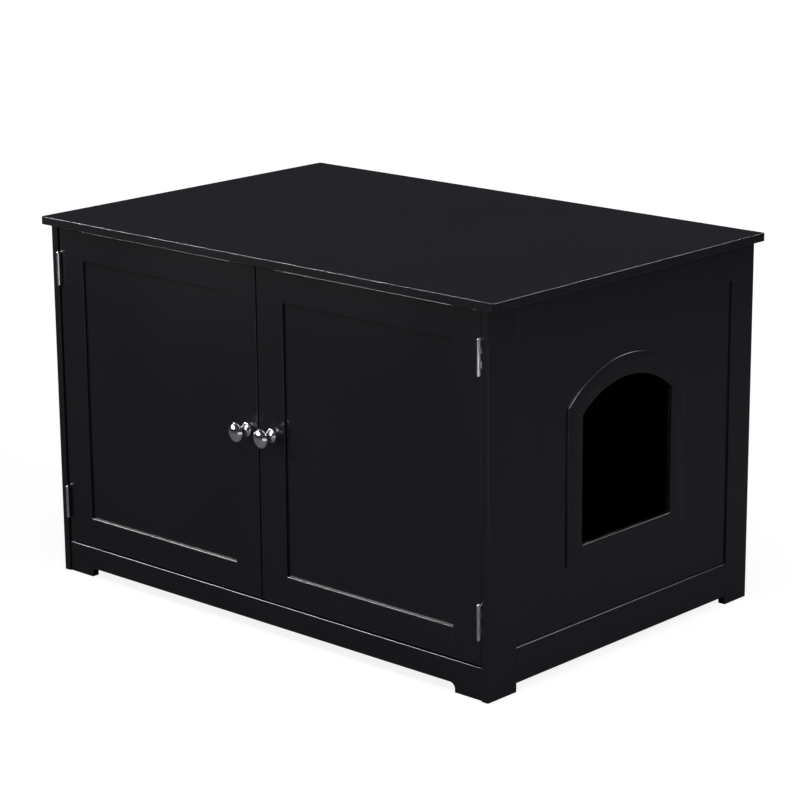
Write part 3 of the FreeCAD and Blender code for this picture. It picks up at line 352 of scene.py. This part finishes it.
# %% Zinc-plated steel and die-cast zinc
def plated_steel(name, cool, warm, rough_low, rough_high, grain):
    material, bench = new_material(name)
    tint = noise(bench, 120.0, 3.0)
    colour = mix_colour(bench, span(bench, tint, 0.0, 1.0), cool, warm)
    edge = edge_mask(bench, 0.2 * MM)
    roughness = span(bench, noise(bench, 400.0, 3.0), rough_low, rough_high) - edge * 0.06
    marks = noise(bench, grain, 2.0)
    finish_with(bench, colour, roughness, bump(bench, marks, 0.01 * MM, 0.4), Metallic=1.0)
    return material


zinc_steel = plated_steel("zinc_plated_steel", (0.50, 0.52, 0.56, 1.0), (0.60, 0.58, 0.52, 1.0), 0.24, 0.36, 1500.0)
cast_zinc = plated_steel("die_cast_zinc", (0.40, 0.41, 0.43, 1.0), (0.50, 0.50, 0.50, 1.0), 0.38, 0.52, 700.0)
print("two zinc finishes")


# %% Ferrite, plastic, beech and hardboard
def ferrite():
    material, bench = new_material("ferrite_magnet")
    lines = noise(bench, 300.0, 3.0, 0.5, stretched(bench, (0.1, 1.0, 1.0)))
    colour = mix_colour(bench, span(bench, lines, 0.0, 1.0), (0.05, 0.05, 0.055, 1.0), (0.10, 0.10, 0.105, 1.0))
    finish_with(bench, colour, span(bench, lines, 0.4, 0.6), bump(bench, lines, 0.02 * MM, 0.5), Metallic=0.5)
    return material


def moulded_plastic():
    material, bench = new_material("moulded_plastic")
    grain = noise(bench, 1800.0, 2.0)
    colour = mix_colour(bench, span(bench, noise(bench, 30.0), 0.0, 1.0), (0.014, 0.014, 0.015, 1.0),
                        (0.022, 0.022, 0.023, 1.0))
    finish_with(bench, colour, span(bench, grain, 0.42, 0.55), bump(bench, grain, 0.01 * MM, 0.6))
    return material


def beech():
    material, bench = new_material("beech")
    figure = noise(bench, 260.0, 4.0, 0.6, stretched(bench, (0.06, 1.0, 1.0)))
    flecks = noise(bench, 1400.0, 2.0, 0.5, stretched(bench, (0.12, 1.0, 1.0)))
    colour = mix_colour(bench, span(bench, figure, 0.0, 1.0), (0.50, 0.32, 0.17, 1.0), (0.66, 0.47, 0.29, 1.0))
    colour = mix_colour(bench, span(bench, flecks, 0.0, 0.5), colour, (0.36, 0.21, 0.11, 1.0))
    finish_with(bench, colour, span(bench, flecks, 0.55, 0.7), bump(bench, flecks, 0.03 * MM, 0.6))
    return material


def black_hardboard():
    material, bench = new_material("black_hardboard")
    fibres = noise(bench, 900.0, 4.0, 0.7)
    colour = mix_colour(bench, span(bench, noise(bench, 14.0, 4.0), 0.0, 1.0), (0.0085, 0.0080, 0.0080, 1.0),
                        (0.0130, 0.0120, 0.0115, 1.0))
    finish_with(bench, colour, span(bench, fibres, 0.5, 0.66), bump(bench, fibres, 0.03 * MM, 0.6),
                Specular_IOR_Level=0.3)
    return material


magnet_face = ferrite()
catch_plastic = moulded_plastic()
beech_wood = beech()
hardboard = black_hardboard()
FINISHES = {"black_paint": lacquer, "chrome": chrome, "steel": zinc_steel, "zinc": cast_zinc,
            "magnet": magnet_face, "catch_plastic": catch_plastic, "beech": beech_wood}
slot_of_node = {part["node"]: part["material_slot"] for part in frame["record"]["subparts"]}
print(f"{len(FINISHES) + 1} finishes")

# %% [markdown]
# ## Boards with eased edges
#
# Nearly everything here is a flat board with a groove, a tongue or a few holes, and the CAD shape is
# already right. What it lacks is the tiny softening that sandpaper gives each corner, which is what
# catches the light. So each board is copied, its loose triangles are merged, a Bevel modifier breaks
# the sharp edges, and a Weighted Normal modifier keeps the large faces flat in the shading.

# %% A helper that eases a board's edges
SAME_CORNER = 0.002 * MM
SAME_PLANE = math.radians(0.3)
SHARP = math.radians(40)


def own_piece(name, mesh, body, slot, *replaced):
    """Put a finished mesh in the scene, on its body."""
    piece = bpy.data.objects.new(name, mesh)
    bpy.context.scene.collection.objects.link(piece)
    if replaced:
        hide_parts(*replaced)
    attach(piece, body)
    return piece


def baked(piece):
    """A plain mesh of an object with its modifiers carried out; the object itself is removed."""
    bpy.context.view_layer.update()
    graph = bpy.context.evaluated_depsgraph_get()
    mesh = bpy.data.meshes.new_from_object(piece.evaluated_get(graph), depsgraph=graph)
    name = piece.name
    bpy.data.objects.remove(piece)
    mesh.name = name
    return mesh


def merged_copy(node):
    """A CAD node's triangles, joined at their corners and along their flat faces."""
    work = bmesh.new()
    work.from_mesh(nodes[node].data)
    bmesh.ops.remove_doubles(work, verts=work.verts, dist=SAME_CORNER)
    bmesh.ops.dissolve_limit(work, angle_limit=SAME_PLANE, verts=work.verts, edges=work.edges)
    mesh = bpy.data.meshes.new(f"{node}_merged")
    work.to_mesh(mesh)
    work.free()
    return mesh


def eased(node, width, finish, steps=2, mesh=None):
    """Break the sharp edges of a node, or of a mesh made from it, and dress it."""
    mesh = mesh or merged_copy(node)
    mesh.shade_smooth()
    rough = bpy.data.objects.new(f"{node}_rough", mesh)
    bpy.context.scene.collection.objects.link(rough)
    softening = rough.modifiers.new("softening", "BEVEL")
    softening.width = width
    softening.segments = steps
    softening.limit_method = "ANGLE"
    softening.angle_limit = SHARP
    shading = rough.modifiers.new("shading", "WEIGHTED_NORMAL")
    shading.weight = 100
    shading.keep_sharp = True
    result = baked(rough)
    result.materials.clear()
    result.materials.append(finish)
    return own_piece(f"{node}_eased", result, body_of_node[node], slot_of_node[node], node)


print(f"edges sharper than {math.degrees(SHARP):.0f} degrees will be eased")


# %% Pieces in a group
def islands(node):
    """The box of each separate solid in a node that groups several."""
    work = bmesh.new()
    work.from_mesh(nodes[node].data)
    bmesh.ops.remove_doubles(work, verts=work.verts, dist=SAME_CORNER)
    left = set(work.verts)
    boxes = []
    while left:
        reached = [left.pop()]
        group = list(reached)
        while reached:
            for edge in reached.pop().link_edges:
                for corner in edge.verts:
                    if corner in left:
                        left.remove(corner)
                        reached.append(corner)
                        group.append(corner)
        low = Vector([min(v.co[i] for v in group) for i in range(3)])
        high = Vector([max(v.co[i] for v in group) for i in range(3)])
        boxes.append((low, high))
    work.free()
    return sorted(boxes, key=lambda pair: tuple(round(v, 5) for v in pair[0]))


print(f"{len(islands('dowels'))} dowels, {len(islands('board_screws'))} board screws")

# %% The wooden pieces
BOARD_EASE = 0.35 * MM
BACK_EASE = 0.25 * MM
PANELS = {"left_side_panel": (-1, 0, 0), "right_side_panel": (1, 0, 0),
          "left_door_panel": (0, -1, 0), "right_door_panel": (0, -1, 0)}
boards = [node for node, slot in slot_of_node.items()
          if slot == "black_paint" and node not in ("doorway_trim", "back_panel", "top_board", *PANELS)]
for node in boards:
    eased(node, BOARD_EASE, lacquer)
eased("back_panel", BACK_EASE, hardboard)
print(f"{len(boards) + 1} boards eased")

# %% [markdown]
# ## Panels with a raised field
#
# In the photograph the panels lie less deep in their frames than a plain board in the CAD model's
# grooves does: the shadow beside each stile is narrow. A panel can be rebated, so that a thin tongue
# enters the groove and the field stands a little forward of it, and that is the guess made here. The
# front of each panel is inset by the part that the groove hides, and what is left is raised by two
# millimetres. The CAD model keeps the deeper panels.

# %% Raise the fields
IN_GROOVE = 7.55 * MM
FIELD_RISE = 2 * MM
FIELD_SLOPE = 0.02 * MM
LEVEL = 0.01 * MM
FACING = 0.999


def raised_field(node, outward):
    mesh = merged_copy(node)
    work = bmesh.new()
    work.from_mesh(mesh)
    outward = Vector(outward)
    level = max(vertex.co.dot(outward) for vertex in work.verts)
    front = [face for face in work.faces
             if face.normal.dot(outward) > FACING and abs(face.calc_center_median().dot(outward) - level) < LEVEL]
    bmesh.ops.inset_region(work, faces=front, thickness=IN_GROOVE, depth=0.0, use_even_offset=True)
    bmesh.ops.inset_region(work, faces=front, thickness=FIELD_SLOPE, depth=FIELD_RISE, use_even_offset=True)
    work.to_mesh(mesh)
    work.free()
    return mesh


for node, outward in PANELS.items():
    eased(node, BOARD_EASE, lacquer, mesh=raised_field(node, outward))
print(f"{len(PANELS)} panels with a field {1000 * FIELD_RISE:.0f} mm proud of the tongue")

# %% [markdown]
# ## The top board
#
# The photograph's top board has crisper edges than a two millimetre round gives: the line of light along
# its front is thin. So the board is cut anew from its own box, with the same soft corners in plan, the
# same blind screw holes underneath, and edges that are only just broken.

# %% Cut the top board
BOARD_CORNER = 3 * MM
TOP_EASE = 0.4 * MM
HOLE_DEPTH = 9 * MM
HOLE_RADIUS = 2 * MM


def slab(low, high, corner):
    work = bmesh.new()
    bmesh.ops.create_cube(work, size=1.0)
    for vertex in work.verts:
        vertex.co = Vector([(a + b) / 2 + (b - a) * c for a, b, c in zip(low, high, vertex.co)])
    upright = [edge for edge in work.edges if abs(edge.verts[0].co.z - edge.verts[1].co.z) > corner]
    bmesh.ops.bevel(work, geom=upright, offset=corner, segments=6, profile=0.5, affect="EDGES")
    return work


def bored(name, work, places, radius, depth):
    """Blind holes, bored upwards from the given places."""
    mesh = bpy.data.meshes.new(name)
    work.to_mesh(mesh)
    work.free()
    holder = bpy.data.objects.new(name, mesh)
    bpy.context.scene.collection.objects.link(holder)
    bits = bmesh.new()
    for place in places:
        bmesh.ops.create_cone(bits, cap_ends=True, segments=32, radius1=radius, radius2=radius, depth=2 * depth,
                              matrix=Matrix.Translation(place))
    bit_mesh = bpy.data.meshes.new(f"{name}_bits")
    bits.to_mesh(bit_mesh)
    bits.free()
    bit = bpy.data.objects.new(f"{name}_bits", bit_mesh)
    bpy.context.scene.collection.objects.link(bit)
    cut = holder.modifiers.new("holes", "BOOLEAN")
    cut.operation = "DIFFERENCE"
    cut.object = bit
    result = baked(holder)
    bpy.data.objects.remove(bit)
    return result


board_low, board_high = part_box("top_board")
hole_places = [Vector(((low.x + high.x) / 2, (low.y + high.y) / 2, board_low.z))
               for low, high in islands("board_screws")]
board_mesh = bored("top_board_cut", slab(board_low, board_high, BOARD_CORNER), hole_places, HOLE_RADIUS, HOLE_DEPTH)
eased("top_board", TOP_EASE, lacquer, steps=3, mesh=board_mesh)
print(f"top board with {len(hole_places)} screw holes")

# %% [markdown]
# ## The moulding round the cat doorway
#
# A flat moulding frames the doorway: straight at the jambs and sill, and curved over the arch. Its
# shape follows a rule, so Geometry Nodes make it. Two outlines, one inside and one outside, have the
# same number of points. A rounded profile is carried from one outline to the other at every point, so
# the corners mitre by themselves and the width, thickness and rounding stay inputs.

# %% The two outlines of the moulding
TRIM_MARGIN = 32 * MM
TRIM_SILL_MARGIN = 25.5 * MM
ARCH_RISE = 37 * MM
TRIM_ROUNDING = 1.0 * MM
CORNER = 3 * MM
CORNER_STEPS = 6
ARCH_STEPS = 72

trim_low, trim_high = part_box("doorway_trim")
half_doorway = (trim_high.y - trim_low.y) / 2 - TRIM_MARGIN
doorway_middle = (trim_high.y + trim_low.y) / 2
doorway_sill = trim_low.z + TRIM_SILL_MARGIN
arch_radius = (half_doorway ** 2 + ARCH_RISE ** 2) / (2 * ARCH_RISE)
arch_centre = trim_high.z - TRIM_MARGIN - arch_radius


def doorway_outline(half_width, sill, radius):
    """Points round the doorway, with a small curve at each of its four corners."""
    lean = math.acos(half_width / radius)
    shoulder = arch_centre + radius * math.sin(lean)
    nick = CORNER / radius

    def on_arch(angle):
        return Vector((radius * math.cos(angle), arch_centre + radius * math.sin(angle)))

    corners = (
        (Vector((-half_width, sill + CORNER)), Vector((-half_width, sill)), Vector((-half_width + CORNER, sill))),
        (Vector((half_width - CORNER, sill)), Vector((half_width, sill)), Vector((half_width, sill + CORNER))),
        (Vector((half_width, shoulder - CORNER)), Vector((half_width, shoulder)), on_arch(lean + nick)),
        (on_arch(math.pi - lean - nick), Vector((-half_width, shoulder)), Vector((-half_width, shoulder - CORNER))),
    )
    points = []
    for number, (start, tip, end) in enumerate(corners):
        for step in range(CORNER_STEPS + 1):
            t = step / CORNER_STEPS
            points.append(start * (1 - t) ** 2 + tip * 2 * t * (1 - t) + end * t ** 2)
        if number == 2:
            sweep = math.pi - 2 * (lean + nick)
            points += [on_arch(lean + nick + sweep * step / ARCH_STEPS) for step in range(1, ARCH_STEPS)]
    return points


inner = doorway_outline(half_doorway, doorway_sill, arch_radius)
outer = doorway_outline(half_doorway + TRIM_MARGIN, trim_low.z, arch_radius + TRIM_MARGIN)
print(f"doorway {2000 * half_doorway:.0f} mm wide, arch radius {1000 * arch_radius:.0f} mm, {len(inner)} points")


# %% A tree that carries a profile from one outline to the other
def new_tree(name, inputs):
    tree = bpy.data.node_groups.new(name, "GeometryNodeTree")
    tree.interface.new_socket("Geometry", in_out="INPUT", socket_type="NodeSocketGeometry")
    for title, kind in inputs:
        tree.interface.new_socket(title, in_out="INPUT", socket_type=kind)
    tree.interface.new_socket("Geometry", in_out="OUTPUT", socket_type="NodeSocketGeometry")
    bench = Bench(tree)
    return tree, bench, bench.add("NodeGroupInput")


def close_tree(bench, given, geometry):
    """Every tree ends the same way, because instances and loose materials don't survive an export."""
    real = bench.add("GeometryNodeRealizeInstances", None, {"Geometry": geometry})
    dressed = bench.add("GeometryNodeSetMaterial", None, {"Geometry": real, "Material": given.other("Finish")})
    bench.add("NodeGroupOutput", None, {"Geometry": dressed})


def moulding_tree():
    tree, bench, given = new_tree("moulding", [("Width", "NodeSocketFloat"), ("Thickness", "NodeSocketFloat"),
                                               ("Rounding", "NodeSocketFloat"), ("Finish", "NodeSocketMaterial")])
    width, thickness, rounding = (given.other(name) for name in ("Width", "Thickness", "Rounding"))
    # The profile is a rounded plate twice as thick as the moulding; what lies below the panel is cut off level.
    plate = bench.add("GeometryNodeCurvePrimitiveQuadrilateral", None, {"Width": width, "Height": thickness * 2.0})
    profile = bench.add("GeometryNodeFilletCurve", {"mode": "POLY"},
                        {"Curve": plate, "Radius": rounding, "Count": 6})
    profile_mesh = bench.add("GeometryNodeCurveToMesh", None, {"Curve": profile})
    across_count = bench.add("GeometryNodeAttributeDomainSize", None, {"Geometry": profile_mesh})
    total = bench.add("GeometryNodeAttributeDomainSize", None, {"Geometry": given})
    ring = total * 0.5
    grid = bench.add("GeometryNodeMeshGrid", None,
                     {"Vertices X": ring + 1.0, "Vertices Y": across_count + 1.0})
    index = bench.add("GeometryNodeInputIndex")
    row = index.math("FLOOR", (index + 0.5) / (across_count + 1.0))
    column = index - row * (across_count + 1.0)
    place = bench.add("GeometryNodeInputPosition")

    def sampled(geometry, number):
        return bench.add("GeometryNodeSampleIndex", {"data_type": "FLOAT_VECTOR"},
                         {"Geometry": geometry, "Value": place, "Index": number})

    along = row.math("MODULO", row + 0.25, ring)
    inside = sampled(given, along)
    outside = sampled(given, along + ring)
    section = sampled(profile_mesh, column.math("MODULO", column + 0.25, across_count))
    parts = bench.add("ShaderNodeSeparateXYZ", None, {"Vector": section})
    share = parts / width + 0.5
    height = parts.math("MAXIMUM", parts.other("Y"), 0.0)
    between = bench.add("ShaderNodeMix", {"data_type": "VECTOR"}, {0: share, 4: inside, 5: outside}, out=1)
    lift = bench.add("ShaderNodeCombineXYZ", None, {"X": height})
    spot = bench.add("ShaderNodeVectorMath", {"operation": "ADD"}, {0: between, 1: lift})
    swept = bench.add("GeometryNodeSetPosition", None, {"Geometry": grid, "Position": spot})
    closed = bench.add("GeometryNodeMergeByDistance", None, {"Geometry": swept, "Distance": 0.01 * MM})
    close_tree(bench, given, closed)
    return tree


print("moulding tree described")


# %% Run the moulding
def grown(name, points, tree, values):
    """Run a tree on a set of points and return a plain mesh."""
    seed = bpy.data.meshes.new(name)
    seed.from_pydata([tuple(point) for point in points], [], [])
    holder = bpy.data.objects.new(name, seed)
    bpy.context.scene.collection.objects.link(holder)
    step = holder.modifiers.new("grow", "NODES")
    step.node_group = tree
    for item in tree.interface.items_tree:
        if item.in_out == "INPUT" and item.name in values:
            step[item.identifier] = values[item.name]
    mesh = baked(holder)
    work = bmesh.new()
    work.from_mesh(mesh)
    bmesh.ops.recalc_face_normals(work, faces=work.faces)
    work.to_mesh(mesh)
    work.free()
    return mesh


def smooth_by_angle(mesh, degrees):
    mesh.shade_smooth()
    mesh.set_sharp_from_angle(angle=math.radians(degrees))


trim_points = [(trim_low.x, doorway_middle + y, z) for outline in (inner, outer) for y, z in outline]
trim_mesh = grown("doorway_moulding", trim_points, moulding_tree(),
                  {"Width": TRIM_MARGIN, "Thickness": trim_high.x - trim_low.x, "Rounding": TRIM_ROUNDING,
                   "Finish": lacquer})
smooth_by_angle(trim_mesh, 30)
own_piece("doorway_moulding", trim_mesh, body_of_node["doorway_trim"], "black_paint", "doorway_trim")
reach = [[vertex.co[i] for vertex in trim_mesh.vertices] for i in range(3)]
print(f"moulding: {len(trim_mesh.polygons)} faces, {[round((max(r) - min(r)) / MM, 1) for r in reach]} mm")

# %% [markdown]
# ## Turned pieces: the knobs
#
# Each knob is a chrome mushroom: a flared foot on the door, a hollow-curved stem, a rim and a gently
# domed face. On a lathe it is one profile turned about an axis, and here it is made the same way, by
# spinning an outline. The ends of the outline lie on the axis, so the form closes by itself.

# %% A lathe
def arc_points(centre, radius, start, end, steps):
    return [(centre[0] + radius * math.cos(start + (end - start) * i / steps),
             centre[1] + radius * math.sin(start + (end - start) * i / steps)) for i in range(steps + 1)]


def turned(name, outline, turns, place, axis):
    """Spin (radius, height) points about an axis through a place."""
    work = bmesh.new()
    corners = [work.verts.new((radius, 0.0, height)) for radius, height in outline]
    edges = [work.edges.new(pair) for pair in zip(corners, corners[1:])]
    bmesh.ops.spin(work, geom=corners + edges, cent=(0, 0, 0), axis=(0, 0, 1), angle=2 * math.pi, steps=turns)
    bmesh.ops.remove_doubles(work, verts=work.verts, dist=0.005 * MM)
    bmesh.ops.recalc_face_normals(work, faces=work.faces)
    turn = Vector((0, 0, 1)).rotation_difference(axis).to_matrix().to_4x4()
    work.transform(Matrix.Translation(place) @ turn)
    mesh = bpy.data.meshes.new(name)
    work.to_mesh(mesh)
    work.free()
    smooth_by_angle(mesh, 28)
    return mesh


print("lathe ready")


# %% The knobs
# All in millimetres: radii, and heights above the door.
KNOB_FOOT = 10.0
KNOB_HEAD = 14.0
KNOB_LENGTH = 28.0
KNOB_DOME = 5.5
FOOT_RIM = 0.6
FOOT_SLOPE = [(9.0, 1.6), (8.4, 2.3)]
STEM_CENTRE = (17.5, 10.55)
STEM_ROUND = 12.0
STEM_SWEEP = 0.70
HEAD_UNDERSIDE = [(10.2, 18.9), (12.6, 19.9)]
HEAD_RIM = 1.1
HEAD_RIM_HEIGHT = 21.2
KNOB_TURNS = 96


def knob_outline():
    dome_radius = (KNOB_HEAD ** 2 + KNOB_DOME ** 2) / (2 * KNOB_DOME)
    reach = math.asin(KNOB_HEAD / dome_radius)
    points = [(0.0, 0.0), (KNOB_FOOT - FOOT_RIM / 2, 0.0)]
    points += arc_points((KNOB_FOOT - FOOT_RIM, FOOT_RIM), FOOT_RIM, -math.pi / 3, math.pi / 2, 6)
    points += FOOT_SLOPE
    # The arc's outermost points would fold back over the foot and the head.
    points += arc_points(STEM_CENTRE, STEM_ROUND, math.pi + STEM_SWEEP, math.pi - STEM_SWEEP, 26)[2:-2]
    points += HEAD_UNDERSIDE
    points += arc_points((KNOB_HEAD - HEAD_RIM, HEAD_RIM_HEIGHT), HEAD_RIM, -math.pi / 2.6, math.pi * 0.36, 10)
    points += arc_points((0.0, KNOB_LENGTH - dome_radius), dome_radius, math.pi / 2 - reach * 0.94, math.pi / 2, 18)
    return [(radius * MM, height * MM) for radius, height in points]


for side in ("left", "right"):
    low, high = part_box(f"{side}_knob")
    seat = Vector(((low.x + high.x) / 2, high.y, (low.z + high.z) / 2))
    mesh = turned(f"{side}_turned_knob", knob_outline(), KNOB_TURNS, seat, Vector((0, -1, 0)))
    mesh.materials.append(chrome)
    own_piece(f"{side}_turned_knob", mesh, body_of_node[f"{side}_knob"], "chrome", f"{side}_knob")
    print(f"{side} knob: {len(mesh.polygons)} faces")

# %% [markdown]
# ## Hinges and small metal
#
# The butt hinges are stamped plates whose ends are rolled into knuckles round a pin. Their CAD shapes
# already have every knuckle, so they get the same treatment as the boards, with a finer bevel: a
# polished plate with sharp corners would show no glint.

# %% Hinges, catches and strike plates
CHROME_EASE = 0.28 * MM
CATCH_EASE = 0.4 * MM
STRIKE_EASE = 0.12 * MM
MAGNET_EASE = 0.25 * MM
for node, slot in slot_of_node.items():
    if slot == "chrome" and not node.endswith("_knob"):
        eased(node, CHROME_EASE, chrome)
    elif "magnetic_catch" in node:
        eased(node, CATCH_EASE, catch_plastic, steps=3)
    elif "strike_plate" in node:
        eased(node, STRIKE_EASE, zinc_steel)
    elif node == "catch_magnets":
        eased(node, MAGNET_EASE, magnet_face)
print("small metal eased")

# %% [markdown]
# ## Screws, set out by Geometry Nodes
#
# A screw is worth modelling once. Its head and its plain, pointed shank are turned, and a cross recess
# is cut into the head. There is no thread, because it is out of sight in the wood. A tree then stands a
# copy on each point that it is given, turned to the hole's direction, and spins it by a random but fixed
# amount, because no one lines up their screws.

# %% One screw pattern
# Shares of the radius of the shank, then of the head.
CORE = 0.74
TIP_RADIUS, TIP_RISE, TAPER_RISE = 0.35, 0.6, 2.2
CROSS_SPAN, CROSS_WIDTH, CROSS_TAPER = 1.15, 0.26, 0.35


def screw_pattern(name, head_outline, head_radius, recess, shank_radius, length):
    """A cross-head screw along +Z: the head's top is at 0 and the shank goes down."""
    outline = [(0.0, -length), (shank_radius * TIP_RADIUS, -length + shank_radius * TIP_RISE),
               (shank_radius * CORE, -length + TAPER_RISE * shank_radius)] + head_outline
    mesh = turned(name, outline, 20, Vector((0, 0, 0)), Vector((0, 0, 1)))
    holder = bpy.data.objects.new(name, mesh)
    bpy.context.scene.collection.objects.link(holder)
    cross = bmesh.new()
    for turn in (0, math.pi / 2):
        arm = bmesh.ops.create_cube(cross, size=1.0)["verts"]
        for corner in arm:
            taper = 1.0 if corner.co.z > 0 else CROSS_TAPER
            corner.co = Vector((corner.co.x * head_radius * CROSS_SPAN * taper, corner.co.y * head_radius * CROSS_WIDTH,
                                corner.co.z * 2 * recess))
        bmesh.ops.rotate(cross, verts=arm, cent=(0, 0, 0), matrix=Matrix.Rotation(turn, 3, "Z"))
    cutter_mesh = bpy.data.meshes.new(f"{name}_recess")
    cross.to_mesh(cutter_mesh)
    cross.free()
    cutter = bpy.data.objects.new(f"{name}_recess", cutter_mesh)
    bpy.context.scene.collection.objects.link(cutter)
    top = max(height for _, height in head_outline)
    cutter.location.z = top
    cut = holder.modifiers.new("recess", "BOOLEAN")
    cut.operation = "DIFFERENCE"
    cut.object = cutter
    cut.use_self = True
    result = baked(holder)
    bpy.data.objects.remove(cutter)
    smooth_by_angle(result, 30)
    pattern = bpy.data.objects.new(f"{name}_pattern", result)
    bpy.context.scene.collection.objects.link(pattern)
    return pattern


def countersunk(head_radius, shank_radius, sink):
    return [(shank_radius * CORE, -sink - 1.0 * MM), (shank_radius * 0.98, -sink), (head_radius * 0.98, -0.12 * MM),
            (head_radius * 0.96, 0.0), (0.0, 0.0)]


def pan_head(head_radius, shank_radius, height):
    dome = arc_points((0.0, height - 1.6 * head_radius), 1.6 * head_radius, math.pi / 2 - 0.56, math.pi / 2, 6)
    return [(shank_radius * CORE, -0.3 * MM), (shank_radius, 0.0), (head_radius * 0.97, 0.0),
            (head_radius * 0.97, 0.35 * height)] + dome


print("countersunk and pan heads described")


# %% A tree that sets screws
def setting_tree():
    tree, bench, given = new_tree("set_screws", [("Screw", "NodeSocketObject"), ("Direction", "NodeSocketRotation"),
                                                 ("Seed", "NodeSocketInt"), ("Finish", "NodeSocketMaterial")])
    shape = bench.add("GeometryNodeObjectInfo", {"transform_space": "ORIGINAL"},
                      {"Object": given.other("Screw"), "As Instance": True}, out="Geometry")
    stood = bench.add("GeometryNodeInstanceOnPoints", None,
                      {"Points": given, "Instance": shape, "Rotation": given.other("Direction")})
    turn = bench.add("FunctionNodeRandomValue", {"data_type": "FLOAT"},
                     {2: 0.0, 3: math.pi / 2, "Seed": given.other("Seed")}, out=1)
    spin = bench.add("ShaderNodeCombineXYZ", None, {"Z": turn})
    spun = bench.add("GeometryNodeRotateInstances", None, {"Instances": stood, "Rotation": spin, "Local Space": True})
    close_tree(bench, given, spun)
    return tree


setting = setting_tree()
print(f"tree {setting.name} with {len(setting.nodes)} nodes")


# %% Where the screws go
def head_points(node, axis):
    """The middle of each screw's outer end, in the direction its head faces."""
    points = []
    for low, high in islands(node):
        middle = (low + high) / 2
        reach = (high - low) / 2
        points.append(middle + Vector([a * r for a, r in zip(axis, reach)]))
    return points


print(f"{len(head_points('catch_screws', (0, 0, -1)))} places for catch screws")


# %% Set the screws
HINGE_SCREW = screw_pattern("hinge_screw", countersunk(2.5 * MM, 1.5 * MM, 1.0 * MM), 2.5 * MM, 0.7 * MM,
                            1.5 * MM, 10 * MM)
BOARD_SCREW = screw_pattern("board_screw", countersunk(4.0 * MM, 2.0 * MM, 2.0 * MM), 4.0 * MM, 1.3 * MM,
                            2.0 * MM, 21 * MM)
CATCH_SCREW = screw_pattern("catch_screw", pan_head(2.75 * MM, 1.5 * MM, 1.6 * MM), 2.75 * MM, 0.9 * MM,
                            1.5 * MM, 12 * MM)
# node, pattern, direction that the head faces, height of the head above the hole's edge
SCREWS = (
    ("left_cabinet_hinge_screws", HINGE_SCREW, (1, 0, 0), 0.0),
    ("right_cabinet_hinge_screws", HINGE_SCREW, (-1, 0, 0), 0.0),
    ("left_door_hinge_screws", HINGE_SCREW, (-1, 0, 0), 0.0),
    ("right_door_hinge_screws", HINGE_SCREW, (1, 0, 0), 0.0),
    ("board_screws", BOARD_SCREW, (0, 0, -1), 0.0),
    ("catch_screws", CATCH_SCREW, (0, 0, -1), 1.6 * MM),
)
for seed, (node, pattern, axis, proud) in enumerate(SCREWS):
    facing = Vector(axis)
    points = [point - facing * proud for point in head_points(node, axis)]
    direction = Vector((0, 0, 1)).rotation_difference(facing).to_euler()
    mesh = grown(f"{node}_set", points, setting,
                 {"Screw": pattern, "Direction": direction, "Seed": seed, "Finish": zinc_steel})
    smooth_by_angle(mesh, 30)
    own_piece(f"{node}_set", mesh, body_of_node[node], slot_of_node[node], node)
    print(f"{node}: {len(points)} screws, {len(mesh.polygons)} faces")
for pattern in (HINGE_SCREW, BOARD_SCREW, CATCH_SCREW):
    bpy.data.objects.remove(pattern)

# %% [markdown]
# ## What stays as it came
#
# Dowels, cam bolts and the knobs' screws lie inside the boards and only show when the cabinet is taken
# apart. Their CAD shapes are good enough, so they only get their finish.

# %% Finishes on the remaining pieces
for node, obj in nodes.items():
    obj.data.materials.clear()
    obj.data.materials.append(hardboard if node == "back_panel" else FINISHES[slot_of_node[node]])
print("every piece has a finish")
